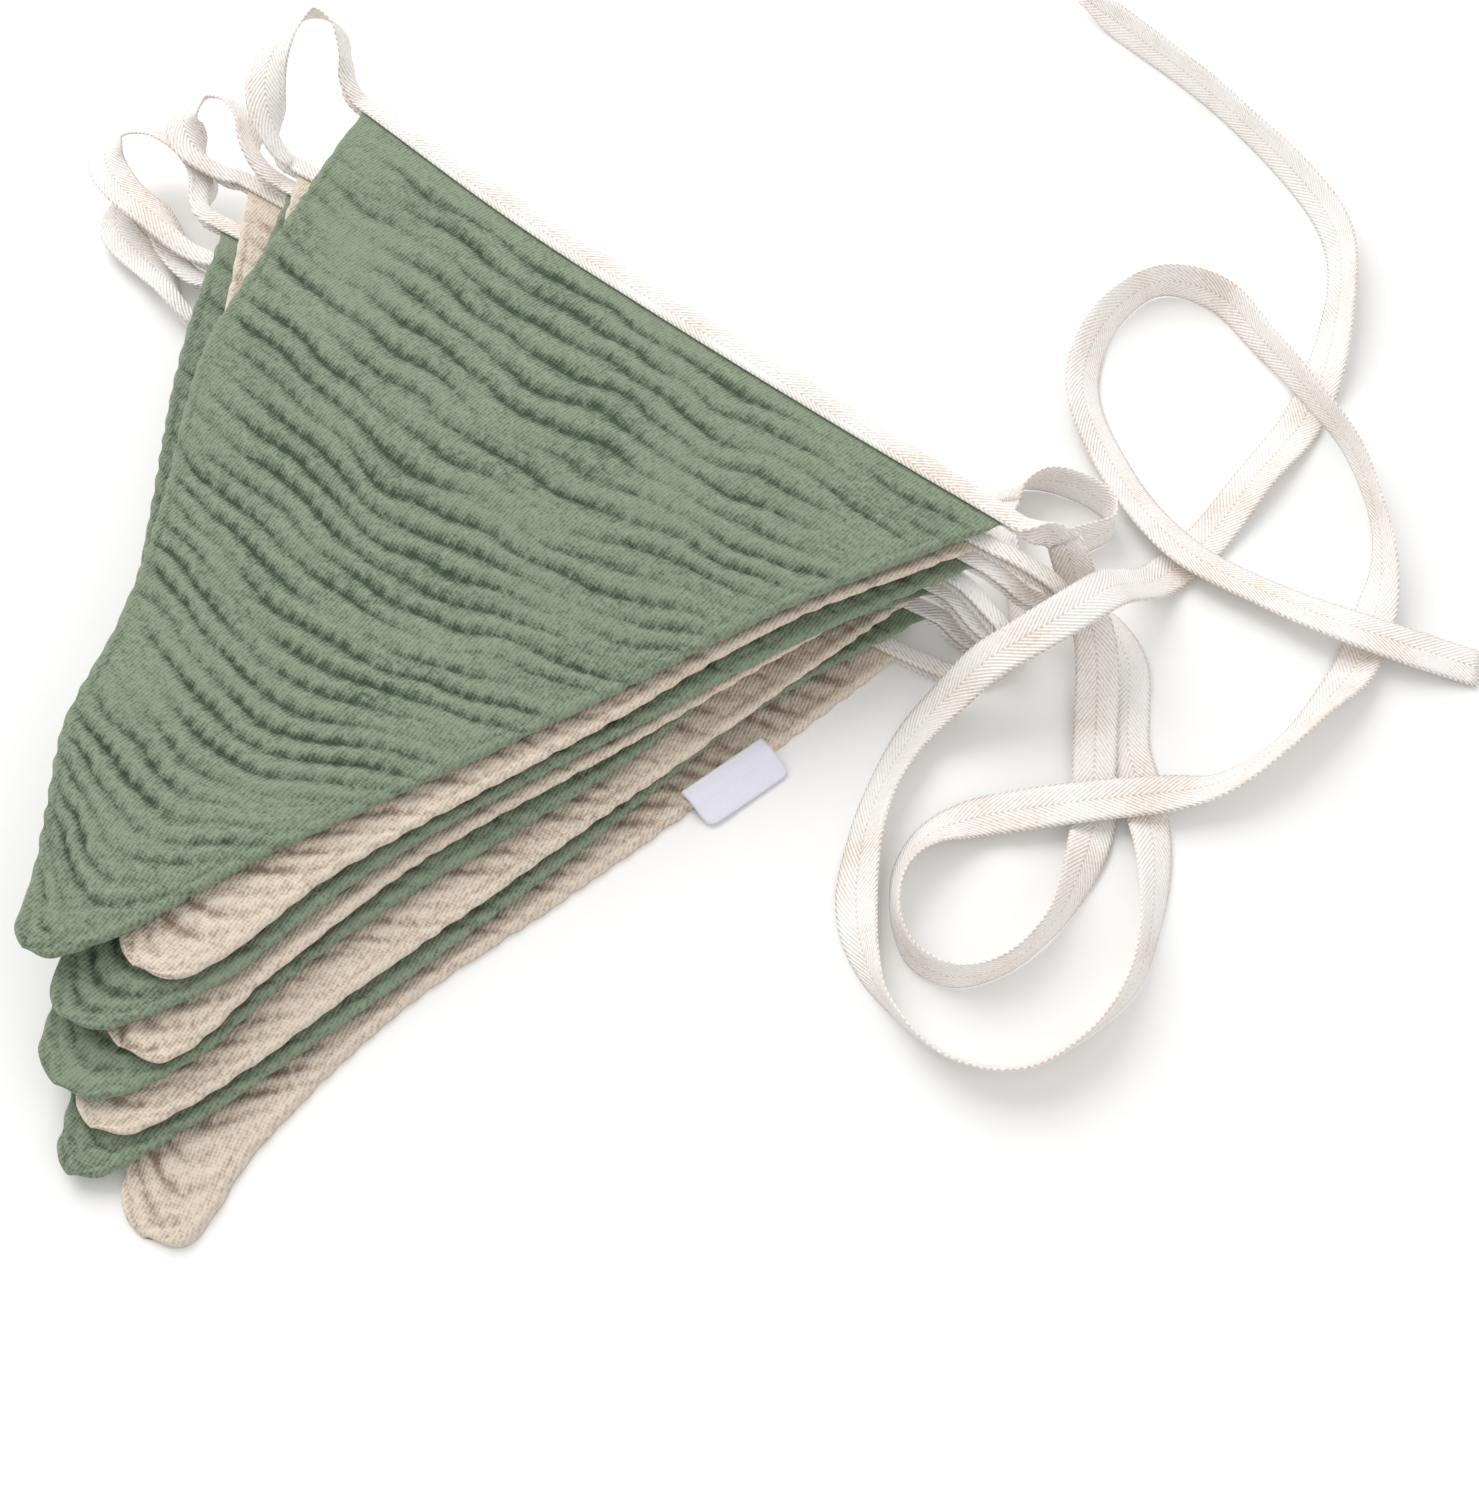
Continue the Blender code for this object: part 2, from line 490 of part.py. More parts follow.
def tape_rings(points, frame, fold, lip):
    """Ten-point rings round a tape that is folded by half a turn where fold is 1 and flat where it is 0."""
    across, normal = frame
    turn = np.clip(fold, LEAST_FOLD, 1.0) * math.pi
    radius = FOLD_ARC / turn
    half = turn / 2.0
    wing_left = WING + lip
    wing_right = WING - lip
    arc_u, arc_w = radius * np.sin(half), radius * (np.cos(half) - 1.0)
    middle = [(-arc_u - wing_left * np.cos(half), arc_w - wing_left * np.sin(half), -half),
              (-arc_u, arc_w, -half),
              (0.0 * half, 0.0 * half, 0.0 * half),
              (arc_u, arc_w, half),
              (arc_u + wing_right * np.cos(half), arc_w - wing_right * np.sin(half), half)]
    outer = [skin_point(points, across, normal, u, w, angle, HALF_TAPE) for u, w, angle in middle]
    inner = [skin_point(points, across, normal, u, w, angle, -HALF_TAPE) for u, w, angle in middle]
    return np.stack(outer + inner[::-1], axis=1)


def skin_point(points, across, normal, u, w, angle, offset):
    """Point of the tape's skin: section place u, w, moved by offset along the section's own normal."""
    u = u + offset * np.sin(angle)
    w = w + offset * np.cos(angle)
    return points + u[:, None] * across + w[:, None] * normal


def step_along(point, way, distance):
    return point + distance * unit_rows(np.array([way]))[0]


def header_tape_rings():
    rows, on_header = header_tape_stations()
    gaps = np.linalg.norm(np.diff(rows[:, :3], axis=0), axis=1)
    both = [first and second for first, second in zip(on_header[:-1], on_header[1:])]
    steps = [max(1, round(gap / (HEADER_STEP if sewn else LOOP_STEP))) for gap, sewn in zip(gaps, both)]
    route = sample_route(rows, steps)
    points = route[:, :3]
    points[0] = step_along(points[0], TOP_JOIN_WAY, -GAP / 2.0)
    points[-1] = step_along(points[-1], BOTTOM_JOIN_WAY, -GAP / 2.0)
    frame = tape_frame(points, route[:, 3], -np.array(TOP_JOIN_WAY), BOTTOM_JOIN_WAY)
    frame = face_outwards(points, frame, route[:, 6:8])
    return tape_rings(points, frame, route[:, 4], route[:, 5])


def tie_route(table):
    """Centre points of a tie and its lean in degrees."""
    rows = np.array(table, float)
    lean = np.radians(rows[:, 3])
    rise = TAPE_WIDTH / 2.0 * np.abs(np.sin(lean)) + HALF_TAPE * np.abs(np.cos(lean))
    height = TIE_REST + rows[:, 2] + rise
    stations = np.column_stack((rows[:, 0], rows[:, 1], height, rows[:, 3]))
    gaps = np.linalg.norm(np.diff(stations[:, :3], axis=0), axis=1)
    route = sample_route(stations, [max(1, round(gap / TIE_STEP)) for gap in gaps])
    return route[:, :3], route[:, 3]


def tie_rings(table, join_way):
    """Four-point rings along a tie, leaning about its direction of travel."""
    points, lean = tie_route(table)
    points[0] = step_along(points[0], join_way, GAP / 2.0)
    across, normal = tape_frame(points, lean, join_way, None)
    half_width = TAPE_WIDTH / 2.0
    upper = ((-half_width, HALF_TAPE), (half_width, HALF_TAPE))
    lower = ((half_width, -HALF_TAPE), (-half_width, -HALF_TAPE))
    corners = upper + lower
    return np.stack([points + u * across + w * normal for u, w in corners], axis=1)


def label_rings():
    """Flat rings from the seam outwards over the bottom pennant's rim and down to the floor."""
    seam = np.array(LABEL_SEAM)
    slant = np.array(LABEL_SLANT)
    rings = []
    for reach, height in LABEL_ROWS:
        start, end = seam + reach * slant
        rings.append([(*start, height + LABEL_HALF), (*end, height + LABEL_HALF),
                      (*end, height - LABEL_HALF), (*start, height - LABEL_HALF)])
    return np.array(rings)


def strip_faces(mesh, first, second):
    """Triangles between two rings of a strip. Both sides share their diagonals, so a twist keeps it thick."""
    count = len(first)
    for i in range(count):
        j = (i + 1) % count
        if i < count // 2:
            mesh.faces.new((first[i], first[j], second[j]))
            mesh.faces.new((first[i], second[j], second[i]))
        else:
            mesh.faces.new((first[i], first[j], second[i]))
            mesh.faces.new((first[j], second[j], second[i]))


def strip_cap(mesh, ring):
    """Quads over a strip's end, between each pair of neighbours on its two sides."""
    count = len(ring)
    for i in range(count // 2 - 1):
        mesh.faces.new((ring[i], ring[i + 1], ring[count - 2 - i], ring[count - 1 - i]))


def cloth_faces(mesh, first, second):
    for i in range(len(first)):
        j = (i + 1) % len(first)
        mesh.faces.new((first[i], first[j], second[j], second[i]))


def cloth_cap(mesh, ring):
    """End of a pennant, cut into triangles."""
    end = mesh.faces.new(ring)
    bmesh.ops.triangulate(mesh, faces=[end], ngon_method="EAR_CLIP")


def close_skin(name, rings, colour, join, cap):
    """Object from rings of points in plan millimetres, joined along its length and closed at both ends."""
    shift = np.array((CENTRE_X, CENTRE_Y, 0.0))
    mesh = bmesh.new()
    skin = [[mesh.verts.new((point - shift) * MM) for point in ring] for ring in rings]
    for first, second in zip(skin[:-1], skin[1:]):
        join(mesh, first, second)
    cap(mesh, skin[0])
    cap(mesh, skin[-1])
    bmesh.ops.recalc_face_normals(mesh, faces=mesh.faces)
    data = bpy.data.meshes.new(name)
    mesh.to_mesh(data)
    mesh.free()
    data.shade_smooth()
    data.set_sharp_from_angle(angle=math.radians(SMOOTH_ANGLE))
    data.materials.append(cloth_material(name, colour))
    shape = bpy.data.objects.new(name, data)
    bpy.context.scene.collection.objects.link(shape)
    return shape


def cloth_material(name, colour):
    material = bpy.data.materials.new(name)
    material.use_nodes = True
    surface = material.node_tree.nodes["Principled BSDF"]
    surface.inputs["Base Color"].default_value = colour
    surface.inputs["Roughness"].default_value = ROUGHNESS
    surface.inputs["Metallic"].default_value = 0.0
    return material


def build_pennants():
    for index, pennant in enumerate(PENNANTS):
        layer = TOP_LAYER - index
        face, back = INNER_COLUMNS, BACK_COLUMNS
        if layer == TOP_LAYER:
            face, back = TOP_COLUMNS, TOP_BACK_COLUMNS
        elif layer == 0:
            face = BOTTOM_COLUMNS
        colour = SAGE if index % 2 == 0 else BEIGE
        rings = pennant_rings(pennant, layer, face, back)
        close_skin(f"pennant_{index + 1}", rings, colour, cloth_faces, cloth_cap)


def main():
    for shape in list(bpy.data.objects):
        bpy.data.objects.remove(shape)
    build_pennants()
    close_skin("header_tape", header_tape_rings(), TAPE_CREAM, strip_faces, strip_cap)
    close_skin("tie_top", tie_rings(TIE_TOP_ROUTE, TOP_JOIN_WAY), TAPE_CREAM, strip_faces, strip_cap)
    close_skin("tie_bottom", tie_rings(TIE_BOTTOM_ROUTE, BOTTOM_JOIN_WAY), TAPE_CREAM, strip_faces, strip_cap)
    close_skin("label", label_rings(), LABEL_WHITE, strip_faces, strip_cap)


if __name__ == "__main__":
    main()
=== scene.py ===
"""Fabric bunting, folded accordion-wise into a stack and laid down, dressed in its cloth.

Every surface is a grid worked out with numpy: the pennants row by row from tip to header, the tapes as a ribbon
section carried along a path. Tables are in millimetres on the layout plan: X right, Y away, Z up from the floor.
"""

import math
from collections import namedtuple

import bpy
import numpy as np
from bpy.props import FloatProperty, FloatVectorProperty, PointerProperty
from bpy.types import Operator, Panel, PropertyGroup
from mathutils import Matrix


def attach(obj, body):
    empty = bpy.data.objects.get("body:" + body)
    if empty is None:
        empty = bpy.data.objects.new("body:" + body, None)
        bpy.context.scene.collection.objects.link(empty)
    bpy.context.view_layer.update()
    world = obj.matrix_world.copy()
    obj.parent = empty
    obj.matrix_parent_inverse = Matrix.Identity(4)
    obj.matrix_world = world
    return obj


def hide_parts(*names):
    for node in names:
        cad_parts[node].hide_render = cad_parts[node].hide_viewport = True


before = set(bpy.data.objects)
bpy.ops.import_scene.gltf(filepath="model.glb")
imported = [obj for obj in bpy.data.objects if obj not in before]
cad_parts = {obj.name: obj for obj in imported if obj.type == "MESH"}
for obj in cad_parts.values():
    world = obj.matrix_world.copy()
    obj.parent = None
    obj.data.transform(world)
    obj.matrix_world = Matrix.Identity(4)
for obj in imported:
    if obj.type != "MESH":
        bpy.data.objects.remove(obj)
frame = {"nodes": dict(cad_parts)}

bl_info = {
    "name": "Fabric bunting",
    "version": (1, 0, 0),
    "blender": (4, 5, 0),
    "location": "View3D > Sidebar > Bunting",
    "description": "Builds a folded double gauze bunting with its cotton tape",
    "category": "Add Mesh",
}

# Metres in a millimetre, the gap left at a join, and the object's origin on the plan
MM = 0.001
GAP = 0.3
CENTRE = np.array((-46.8, 267.8, 0.0))

# Stack heights: layer 0 is the bottom pennant, layer 7 the top one
TOP_LAYER = 7
CLOTH_PITCH = 3.05
CLOTH_FLOOR = 1.1
HEADER_PITCH = 3.9
HEADER_FLOOR = 1.55
GATHER_ENDS = (-60.0, -8.0)

# Lift of the top pennant's left corner, which its loop pulls up
CORNER_LIFT = 3.0
LIFT_ALONG = 70.0
LIFT_FLAT = 8.0
LIFT_ACROSS = 60.0

# Cloth: half thickness in the field, at the puffy seam and inside the header fold
HALF_CLOTH = 0.75
HALF_RIM = 1.1
HALF_SQUEEZED = 0.45
RIM_INSET = 1.5
PUFF_WIDTH = 7.0
SQUEEZE_ENDS = (6.4, 11.0)
HEADER_INSET = 0.2

RIDGE_BEND = 6.0
BEND_FROM = 0.4

# A wedge with this half angle has its sharp apex this many tip radii beyond the rounded tip
HALF_APEX = math.radians(25.65)
APEX_REACH = 1.0 / math.sin(HALF_APEX) - 1.0
TANGENT_DEPTH = 1.0 - math.sin(HALF_APEX)

# Tape: 10 mm wide, folded round a small radius over the cloth
TAPE_WIDTH = 10.0
HALF_TAPE = 0.4
FOLD_RADIUS = 1.15
FOLD_ARC = math.pi * FOLD_RADIUS
WING = (TAPE_WIDTH - FOLD_ARC) / 2.0
STRAIGHT_END = 1.5
LEAST_FOLD = 0.01
HELD_LENGTH = 0.9
HEADER_STATIONS = (0.0, 0.03, 0.12, 0.3, 0.5, 0.7, 0.88, 0.97, 1.0)
TIE_REST = 0.25

# Front wing of the top header, wider in its middle: fraction from the left corner, millimetres
TOP_LIP = ((0.0, 0.0), (0.15, 1.6), (0.45, 2.6), (0.8, 1.7), (1.0, 0.4))

# Corners of each pennant on the plan, tip radius, and how far its edges bow outwards:
# fraction from tip to header, millimetres
Pennant = namedtuple("Pennant", "left right tip tip_round right_bow left_bow")
PENNANTS = (
    Pennant((-93.9, 398.3), (62.6, 272.6), (-146.5, 171.9), 5.0,
            ((0.03, 2.5), (0.25, 0.8), (0.45, -0.8), (0.63, -2.5), (0.86, -1.5)),
            ((0.08, 1.0), (0.15, 4.7), (0.23, 9.0), (0.35, 7.5), (0.48, 9.9),
             (0.57, 12.8), (0.65, 14.1), (0.74, 11.8), (0.86, 6.4))),
    Pennant((-110.9, 384.3), (56.9, 268.8), (-125.4, 170.2), 7.0,
            ((0.05, 4.7), (0.25, -0.5), (0.5, -3.5), (0.72, -5.2)),
            ((0.2, -2.0), (0.6, 1.0), (0.85, 1.0))),
    Pennant((-113.8, 381.3), (55.6, 266.3), (-139.1, 159.5), 7.0,
            ((0.08, 5.5), (0.16, 7.0), (0.3, 0.5), (0.65, -3.8)),
            ((0.2, -3.0), (0.5, 0.0), (0.85, 2.0))),
    Pennant((-125.4, 386.8), (46.9, 267.3), (-128.1, 155.3), 7.0,
            ((0.05, 6.0), (0.2, 1.6), (0.34, -3.0), (0.6, -3.0)),
            ((0.2, -2.0), (0.6, 0.0))),
    Pennant((-131.6, 376.1), (47.1, 264.4), (-141.1, 148.4), 7.0,
            ((0.06, 7.0), (0.14, 9.6), (0.27, 3.4), (0.63, -1.8), (0.82, -7.2)),
            ((0.2, -3.0), (0.5, 1.0), (0.85, 3.0))),
    Pennant((-131.0, 366.2), (45.5, 268.1), (-132.3, 138.9), 7.0,
            ((0.07, 4.0), (0.33, 4.0), (0.6, 2.0)),
            ((0.2, -2.0), (0.6, 0.0))),
    Pennant((-134.0, 363.1), (45.9, 262.9), (-136.0, 129.4), 7.0,
            ((0.1, 2.3), (0.35, 2.3), (0.58, -0.5), (0.78, -4.6)),
            ((0.2, -3.0), (0.5, 1.0), (0.85, 3.0))),
    Pennant((-130.6, 348.9), (38.4, 254.9), (-121.8, 119.5), 7.0,
            ((0.04, 5.5), (0.17, -1.0), (0.34, -5.7), (0.54, -3.2), (0.84, -0.4)),
            ((0.3, -1.0), (0.7, 1.0))),
)

# Where the top header's stations lie, as fractions of its width
TOP_COLUMNS = (0.0, 0.04, 0.12, 0.22, 0.33, 0.45, 0.57, 0.69, 0.8, 0.89, 0.96, 1.0)

# Loops from one header's end to the next one's start: x, y, z, lean and fold. lean is the angle to the floor in
# degrees, with the right-hand edge up where it is positive; fold is 1 where the tape is folded shut
LEFT_LOOPS = (
    ((-96.8, 403.0, 34.0, -85, 0.8), (-98.5, 408.5, 38.5, -72, 0.2),
     (-101.5, 414.5, 43.0, -62, 0.0), (-107.0, 417.3, 44.5, -55, 0.0),
     (-113.0, 412.0, 43.5, -38, 0.0), (-117.7, 403.7, 40.5, -8, 0.0),
     (-118.6, 395.6, 36.0, 14, 0.0), (-117.0, 390.4, 31.0, 42, 0.25),
     (-113.8, 387.0, 26.6, 72, 0.75)),
    ((-118.9, 385.6, 23.0, -80, 0.9), (-123.0, 390.8, 25.5, -62, 0.3),
     (-125.2, 397.0, 27.2, -55, 0.0), (-129.8, 403.2, 28.3, -50, 0.0),
     (-136.2, 405.2, 27.8, -42, 0.0), (-142.0, 400.0, 25.2, -20, 0.0),
     (-139.6, 393.8, 21.6, 18, 0.15), (-132.6, 390.6, 18.2, 62, 0.75)),
    ((-135.6, 380.0, 14.4, -75, 0.85), (-137.0, 388.5, 16.0, -50, 0.2),
     (-143.5, 397.5, 17.4, -42, 0.0), (-153.0, 403.6, 17.6, -40, 0.0),
     (-161.6, 403.2, 16.8, -34, 0.0), (-164.4, 396.8, 15.2, -14, 0.0),
     (-160.0, 388.4, 13.8, 6, 0.0), (-150.6, 380.0, 12.4, 18, 0.1),
     (-139.4, 371.4, 10.4, 55, 0.8)),
    ((-138.8, 366.6, 6.2, -60, 0.85), (-145.4, 373.6, 7.0, -30, 0.3),
     (-149.6, 381.6, 7.6, -34, 0.0), (-154.0, 389.6, 8.2, -50, 0.0),
     (-161.0, 390.2, 7.6, -46, 0.0), (-161.6, 381.6, 5.6, -18, 0.0),
     (-152.2, 370.6, 4.4, 8, 0.0), (-144.6, 361.4, 5.5, 50, 0.35),
     (-139.0, 355.4, 3.5, 84, 0.8)),
)

# The right-hand loops are hairpins of half folded tape, whose fold faces away from the pennants: x, y, z and fold
RIGHT_LOOPS = (
    ((63.5, 266.3, 24.5, 0.95), (68.5, 264.0, 22.6, 0.94), (72.2, 262.2, 20.5, 0.95),
     (74.4, 261.0, 17.2, 0.95), (72.2, 261.8, 13.7, 0.95), (67.0, 262.8, 14.5, 0.95),
     (61.5, 264.2, 19.2, 0.98)),
    ((53.0, 263.6, 17.0, 0.95), (57.0, 258.6, 16.4, 0.92), (60.4, 254.2, 15.0, 0.92),
     (61.8, 252.5, 12.8, 0.92), (59.6, 253.6, 10.7, 0.92), (55.4, 257.2, 11.0, 0.95),
     (51.6, 261.8, 12.6, 0.98)),
    ((50.8, 265.6, 8.7, 1.0), (54.2, 261.8, 6.7, 1.0), (57.0, 258.4, 6.7, 1.0),
     (58.9, 256.6, 4.4, 1.0), (56.8, 257.7, 2.0, 1.0), (53.2, 259.6, 2.0, 1.0),
     (50.2, 261.6, 3.7, 1.0)),
)

# Beyond the outermost corners the folded tape opens out, as far as the joins with the ties
TOP_LEAD = ((73.0, 267.6, 27.65, -100, 0.0),
            (69.8, 270.4, 28.7, -94, 0.3),
            (66.2, 271.9, 28.9, -90, 0.8))
BOTTOM_LEAD = ((44.0, 253.2, 1.6, 90, 1.0), (49.5, 250.6, 1.6, 90, 1.0),
               (55.5, 250.4, 1.6, 90, 1.0), (60.6, 254.0, 1.6, 90, 1.0),
               (63.0, 260.5, 1.6, 90, 1.0), (63.3, 268.5, 2.0, 90, 1.0),
               (62.3, 276.0, 3.3, 88, 0.85), (61.4, 283.5, 5.5, 68, 0.45),
               (61.6, 290.0, 5.3, 50, 0.12), (63.8, 295.5, 3.85, 40, 0.0))

# Directions in which the ties leave the joins
TOP_JOIN_WAY = (0.62, -0.54, -0.57)
BOTTOM_JOIN_WAY = (0.58, 0.81, 0.0)

# Routes of the ties: x, y, lift and lean. lift is the clear height under the tape's lower edge
TIE_TOP_ROUTE = (
    (73.0, 267.6, 22.4, -80), (76.8, 264.2, 12.8, -66), (79.4, 260.4, 6.8, -50), (81.4, 255.0, 4.6, -34),
    (82.0, 247.0, 2.2, -18), (81.0, 236.0, 1.4, -4), (79.6, 223.0, 1.3, 0), (78.8, 212.0, 0.1, 0),
    (75.5, 201.0, 0.1, 30), (67.0, 184.5, 0.1, 72), (56.0, 174.5, 0.1, 85), (45.5, 172.0, 0.1, 83),
    (37.0, 176.5, 0.1, 85), (33.5, 185.5, 0.1, 85), (35.0, 197.0, 0.1, 70), (41.5, 205.5, 0.1, 42),
    (51.5, 210.5, 1.2, 8), (62.0, 212.0, 3.2, 0), (73.0, 213.5, 3.8, 0), (86.0, 215.0, 3.8, 2),
    (97.0, 216.5, 2.2, 14), (108.0, 219.0, 0.3, 40), (120.0, 226.5, 0.1, 58), (131.0, 237.0, 0.1, 52),
    (141.0, 248.5, 0.1, 22), (147.8, 262.0, 0.1, 18), (151.5, 275.0, 0.1, 62), (152.5, 291.0, 0.1, 88),
    (149.0, 311.0, 0.6, 90), (140.5, 327.0, 2.0, 88), (132.0, 343.5, 0.6, 78), (122.0, 359.5, 0.1, 72),
    (108.0, 364.0, 0.1, 78), (93.5, 353.0, 0.1, 52), (85.5, 332.0, 0.1, 29), (92.0, 305.0, 0.1, 20),
    (105.0, 282.0, 2.0, 16), (123.0, 269.5, 2.0, 16), (143.0, 257.5, 5.6, 4), (170.5, 250.5, 0.2, 0),
)
TIE_BOTTOM_ROUTE = (
    (63.8, 295.5, 0.1, 40), (67.5, 299.4, 0.1, 62), (74.0, 301.2, 0.1, 88), (81.5, 299.0, 0.1, 98),
    (88.4, 293.4, 0.1, 96), (88.8, 287.2, 0.1, 88), (83.0, 284.2, 0.1, 80), (76.6, 281.0, 0.1, 72),
    (75.0, 274.5, 0.1, 62), (80.0, 267.5, 0.1, 45), (86.6, 260.0, 0.1, 28), (89.8, 251.0, 0.1, 12),
    (89.0, 241.0, 0.1, 2), (88.0, 230.0, 0.1, 0), (90.0, 217.0, 0.1, 0), (90.6, 203.0, 0.1, 28),
    (88.5, 186.5, 0.1, 55), (83.5, 171.5, 0.1, 72), (73.0, 159.5, 0.1, 96), (58.0, 151.5, 0.1, 112),
    (42.5, 154.5, 0.1, 112), (31.5, 165.5, 0.1, 95), (27.0, 176.0, 0.1, 60), (25.3, 190.0, 0.1, 28),
    (27.5, 205.0, 0.1, 42), (32.0, 218.5, 0.1, 46), (40.5, 233.0, 0.6, 28), (48.0, 239.0, 7.5, 10),
    (55.0, 243.0, 15.5, 0), (64.0, 246.5, 20.2, -5), (74.0, 252.0, 22.0, -12), (82.5, 258.0, 21.2, -12),
    (91.0, 266.5, 10.5, -8), (99.0, 274.0, 1.8, -2), (112.0, 286.5, 0.1, 4), (125.5, 304.0, 0.1, 18),
    (140.5, 323.5, 0.1, 2), (151.5, 352.0, 0.1, 48), (155.0, 382.0, 0.1, 62), (133.0, 424.0, 0.1, 86),
    (96.0, 468.5, 0.1, 75),
)

# Label: seam line from left to right, then each row's reach out of the seam and its mid height
LABEL_SEAM = ((-13.0, 216.8), (5.0, 230.8))
LABEL_HALF = 0.45
LABEL_ROWS = ((0.0, 3.1), (3.6, 3.05), (6.2, 1.9), (10.0, 0.75))
LABEL_SLANT = (0.65, -0.76)
LABEL_GRID = (26, 30)
LABEL_ROUND = 2.2
LABEL_EDGE = 0.9
LABEL_EDGE_SHARE = 0.45
LABEL_RIPPLE = 0.08
LABEL_RIPPLE_LENGTH = 3.7

# Herringbone, in metres: a quarter of the tape's width, pitch of the ribs, half width of the spine, and the sewn
# line's place, the half widths between which it fades out, and its stitches' pitch
TAPE_SLANT = 0.0025
TAPE_RIB = 0.0014
SPINE_HALF = 0.0005
STITCH_LINE = 0.0037
STITCH_HALF = (0.0002, 0.00045)
STITCH_PITCH = 0.0026

# Satin: pitch of its ribs in metres and turns of its warp in a metre
SATIN_RIB = 0.00035
SATIN_WARP = 9000.0

# Heights of the materials' relief in metres
GAUZE_RELIEF = 0.0005
TAPE_RELIEF = 0.00025
SATIN_RELIEF = 0.00007
PAPER_RELIEF = 0.00005

# Fine grid of the cloth: row pitch, column pitch and crowding at the rims, of the top pennant and of the others
TOP_GRID = (0.72, 1.75, 0.0)
INNER_GRID = (0.95, 3.2, 0.7)
RIM_STEPS = (0.0, 0.08, 0.25, 0.5, 0.85, 1.3, 1.9, 2.7, 3.8, 5.2, 7.0)
RIM_SHARE = 0.4
RIM_ROUND = 1.4
LEAST_COLUMNS = 8
LEAST_WIDTH = 0.05
TIP_START = 3.0
TIP_DEPTHS = np.array((0.02, 0.1, 0.25, 0.5, 0.8, 1.2, 1.7, 2.3))

# Unevenness: count of its waves, their longest phase, how far their lengths vary, and the sum that counts as 1
SWAY_WAVES = 5
SWAY_PHASE = 6.3
SWAY_STRETCH = (0.7, 1.4)
SWAY_SUM = 3.0

# Creases: pitch, half width and depth, then their arch and where it sets in, counted from the header
CREASE_SEED = 40
CREASE_PITCH = 5.7
CREASE_WIDTH = 0.52
CREASE_DEPTH = 0.8
CREASE_ARCH = 25.0
ARCH_ENDS = (8.0, 80.0)

# Shift and size of the creases' unevenness, then of the minor creases' own
CREASE_SWAYS = ((1.5, 46.0), (0.5, 16.0))
MINOR_SWAY = (0.9, 14.0)
MINOR_WIDTH = 0.8 * CREASE_WIDTH
LUMP_SIZE = 4.2

# Strength of the creases, and the two waves in which it swings along them
MAIN_LEVEL = 0.72
MINOR_LEVEL = 0.05
FADE_SWING = 0.3
FADE_LENGTHS = (25.0, 7.9)

# Scallops of a crease: pitch, shift and drift; then the puffs beside it: height and reach
SCALLOP_PITCH = 4.1
SCALLOP_SHIFT = 0.18
SCALLOP_DRIFT = 2.2
DRIFT_LENGTH = 6.1
PUCKER = 0.32
PUCKER_REACH = 2.2

# Shares in the depth and in the painted shade: main and minor troughs, main and minor valleys, main and minor
# puffs, lumps
DEPTH_SHARES = (1.0, 0.6, 0.75, 0.4, 1.0, 0.5, 0.1)
SHADE_SHARES = (0.62, 0.42, 0.36, 0.14, 0.4, 0.0, 0.08)

# Crown of the face over the field, and scale of the depth under it, of the top pennant and of the others
CREASE_TOP = (0.75, 1.0)
CREASE_INNER = (0.2, 0.95)
LEAST_FACE = 0.25

# The creases calm down towards the rim, and their valleys draw it in by a nip
CALM_SHARE = 0.4
CALM_ENDS = (1.0, 7.0)
RIM_NIP = 0.55
NIP_REACH = 2.5

# Seam beside the rim: inset, depth, half width, how it wanders, and its shares in the depth and in the painted
# shade
SEAM_INSET = 3.1
SEAM_DEPTH = 0.45
SEAM_WIDTH = 0.55
SEAM_WANDER = 0.25
WANDER_LENGTH = 5.0
SEAM_SINK = 0.7
SEAM_SHADE = 0.8

# Steps along the tapes and points across them
HEADER_FINE = 5.0
LOOP_FINE = 1.3
TIE_FINE = 1.8
ACROSS_WING = 4
ACROSS_ARC = 7
ACROSS_TIE = 9

# The tape thins from this far out to its edge, on the header and on the ties
EDGE_FROM = 4.2
HEADER_THINNING = 0.55
TIE_THINNING = 0.5

# Ties: the frayed end's longest thread, the other end's taper, and the ripples' height, lengths along and across,
# length of their swell, and where they set in
FRAY = 2.2
FRAY_SEED = 5
TAPER_LENGTH = 14.0
TAPER_SHARE = 0.45
RIPPLE = 0.12
RIPPLE_LENGTHS = (6.3, 4.0)
RIPPLE_SWELL = 17.0
RIPPLE_ENDS = (2.0, 14.0)

# Camera of the photograph: place above the plan's origin, tilt from straight down, and lens
CAMERA_HEIGHT = 413.1
CAMERA_TILT = math.radians(29.05)
CAMERA_LENS = 50.0
CAMERA_SENSOR = 36.0

# Studio: each light's property, size, place and turn in degrees, and the floor's reach and level, in metres
LIGHTS = (("key", 1.1, (-0.55, 0.75, 1.05), (-38.0, -25.0, 0.0)),
          ("fill", 0.9, (0.95, -0.55, 0.75), (36.0, 48.0, 0.0)))
FLOOR_REACH = 3.0
FLOOR_LEVEL = -0.00005

# What all colours of the panel have in common
COLOUR = {"subtype": "COLOR", "size": 3, "min": 0.0, "max": 1.0}


def smoothstep(value, low, high):
    """Ease from 0 at low to 1 at high."""
    t = np.clip((value - low) / (high - low), 0.0, 1.0)
    return t * t * (3.0 - 2.0 * t)


def mix(first, second, share):
    return first + (second - first) * share


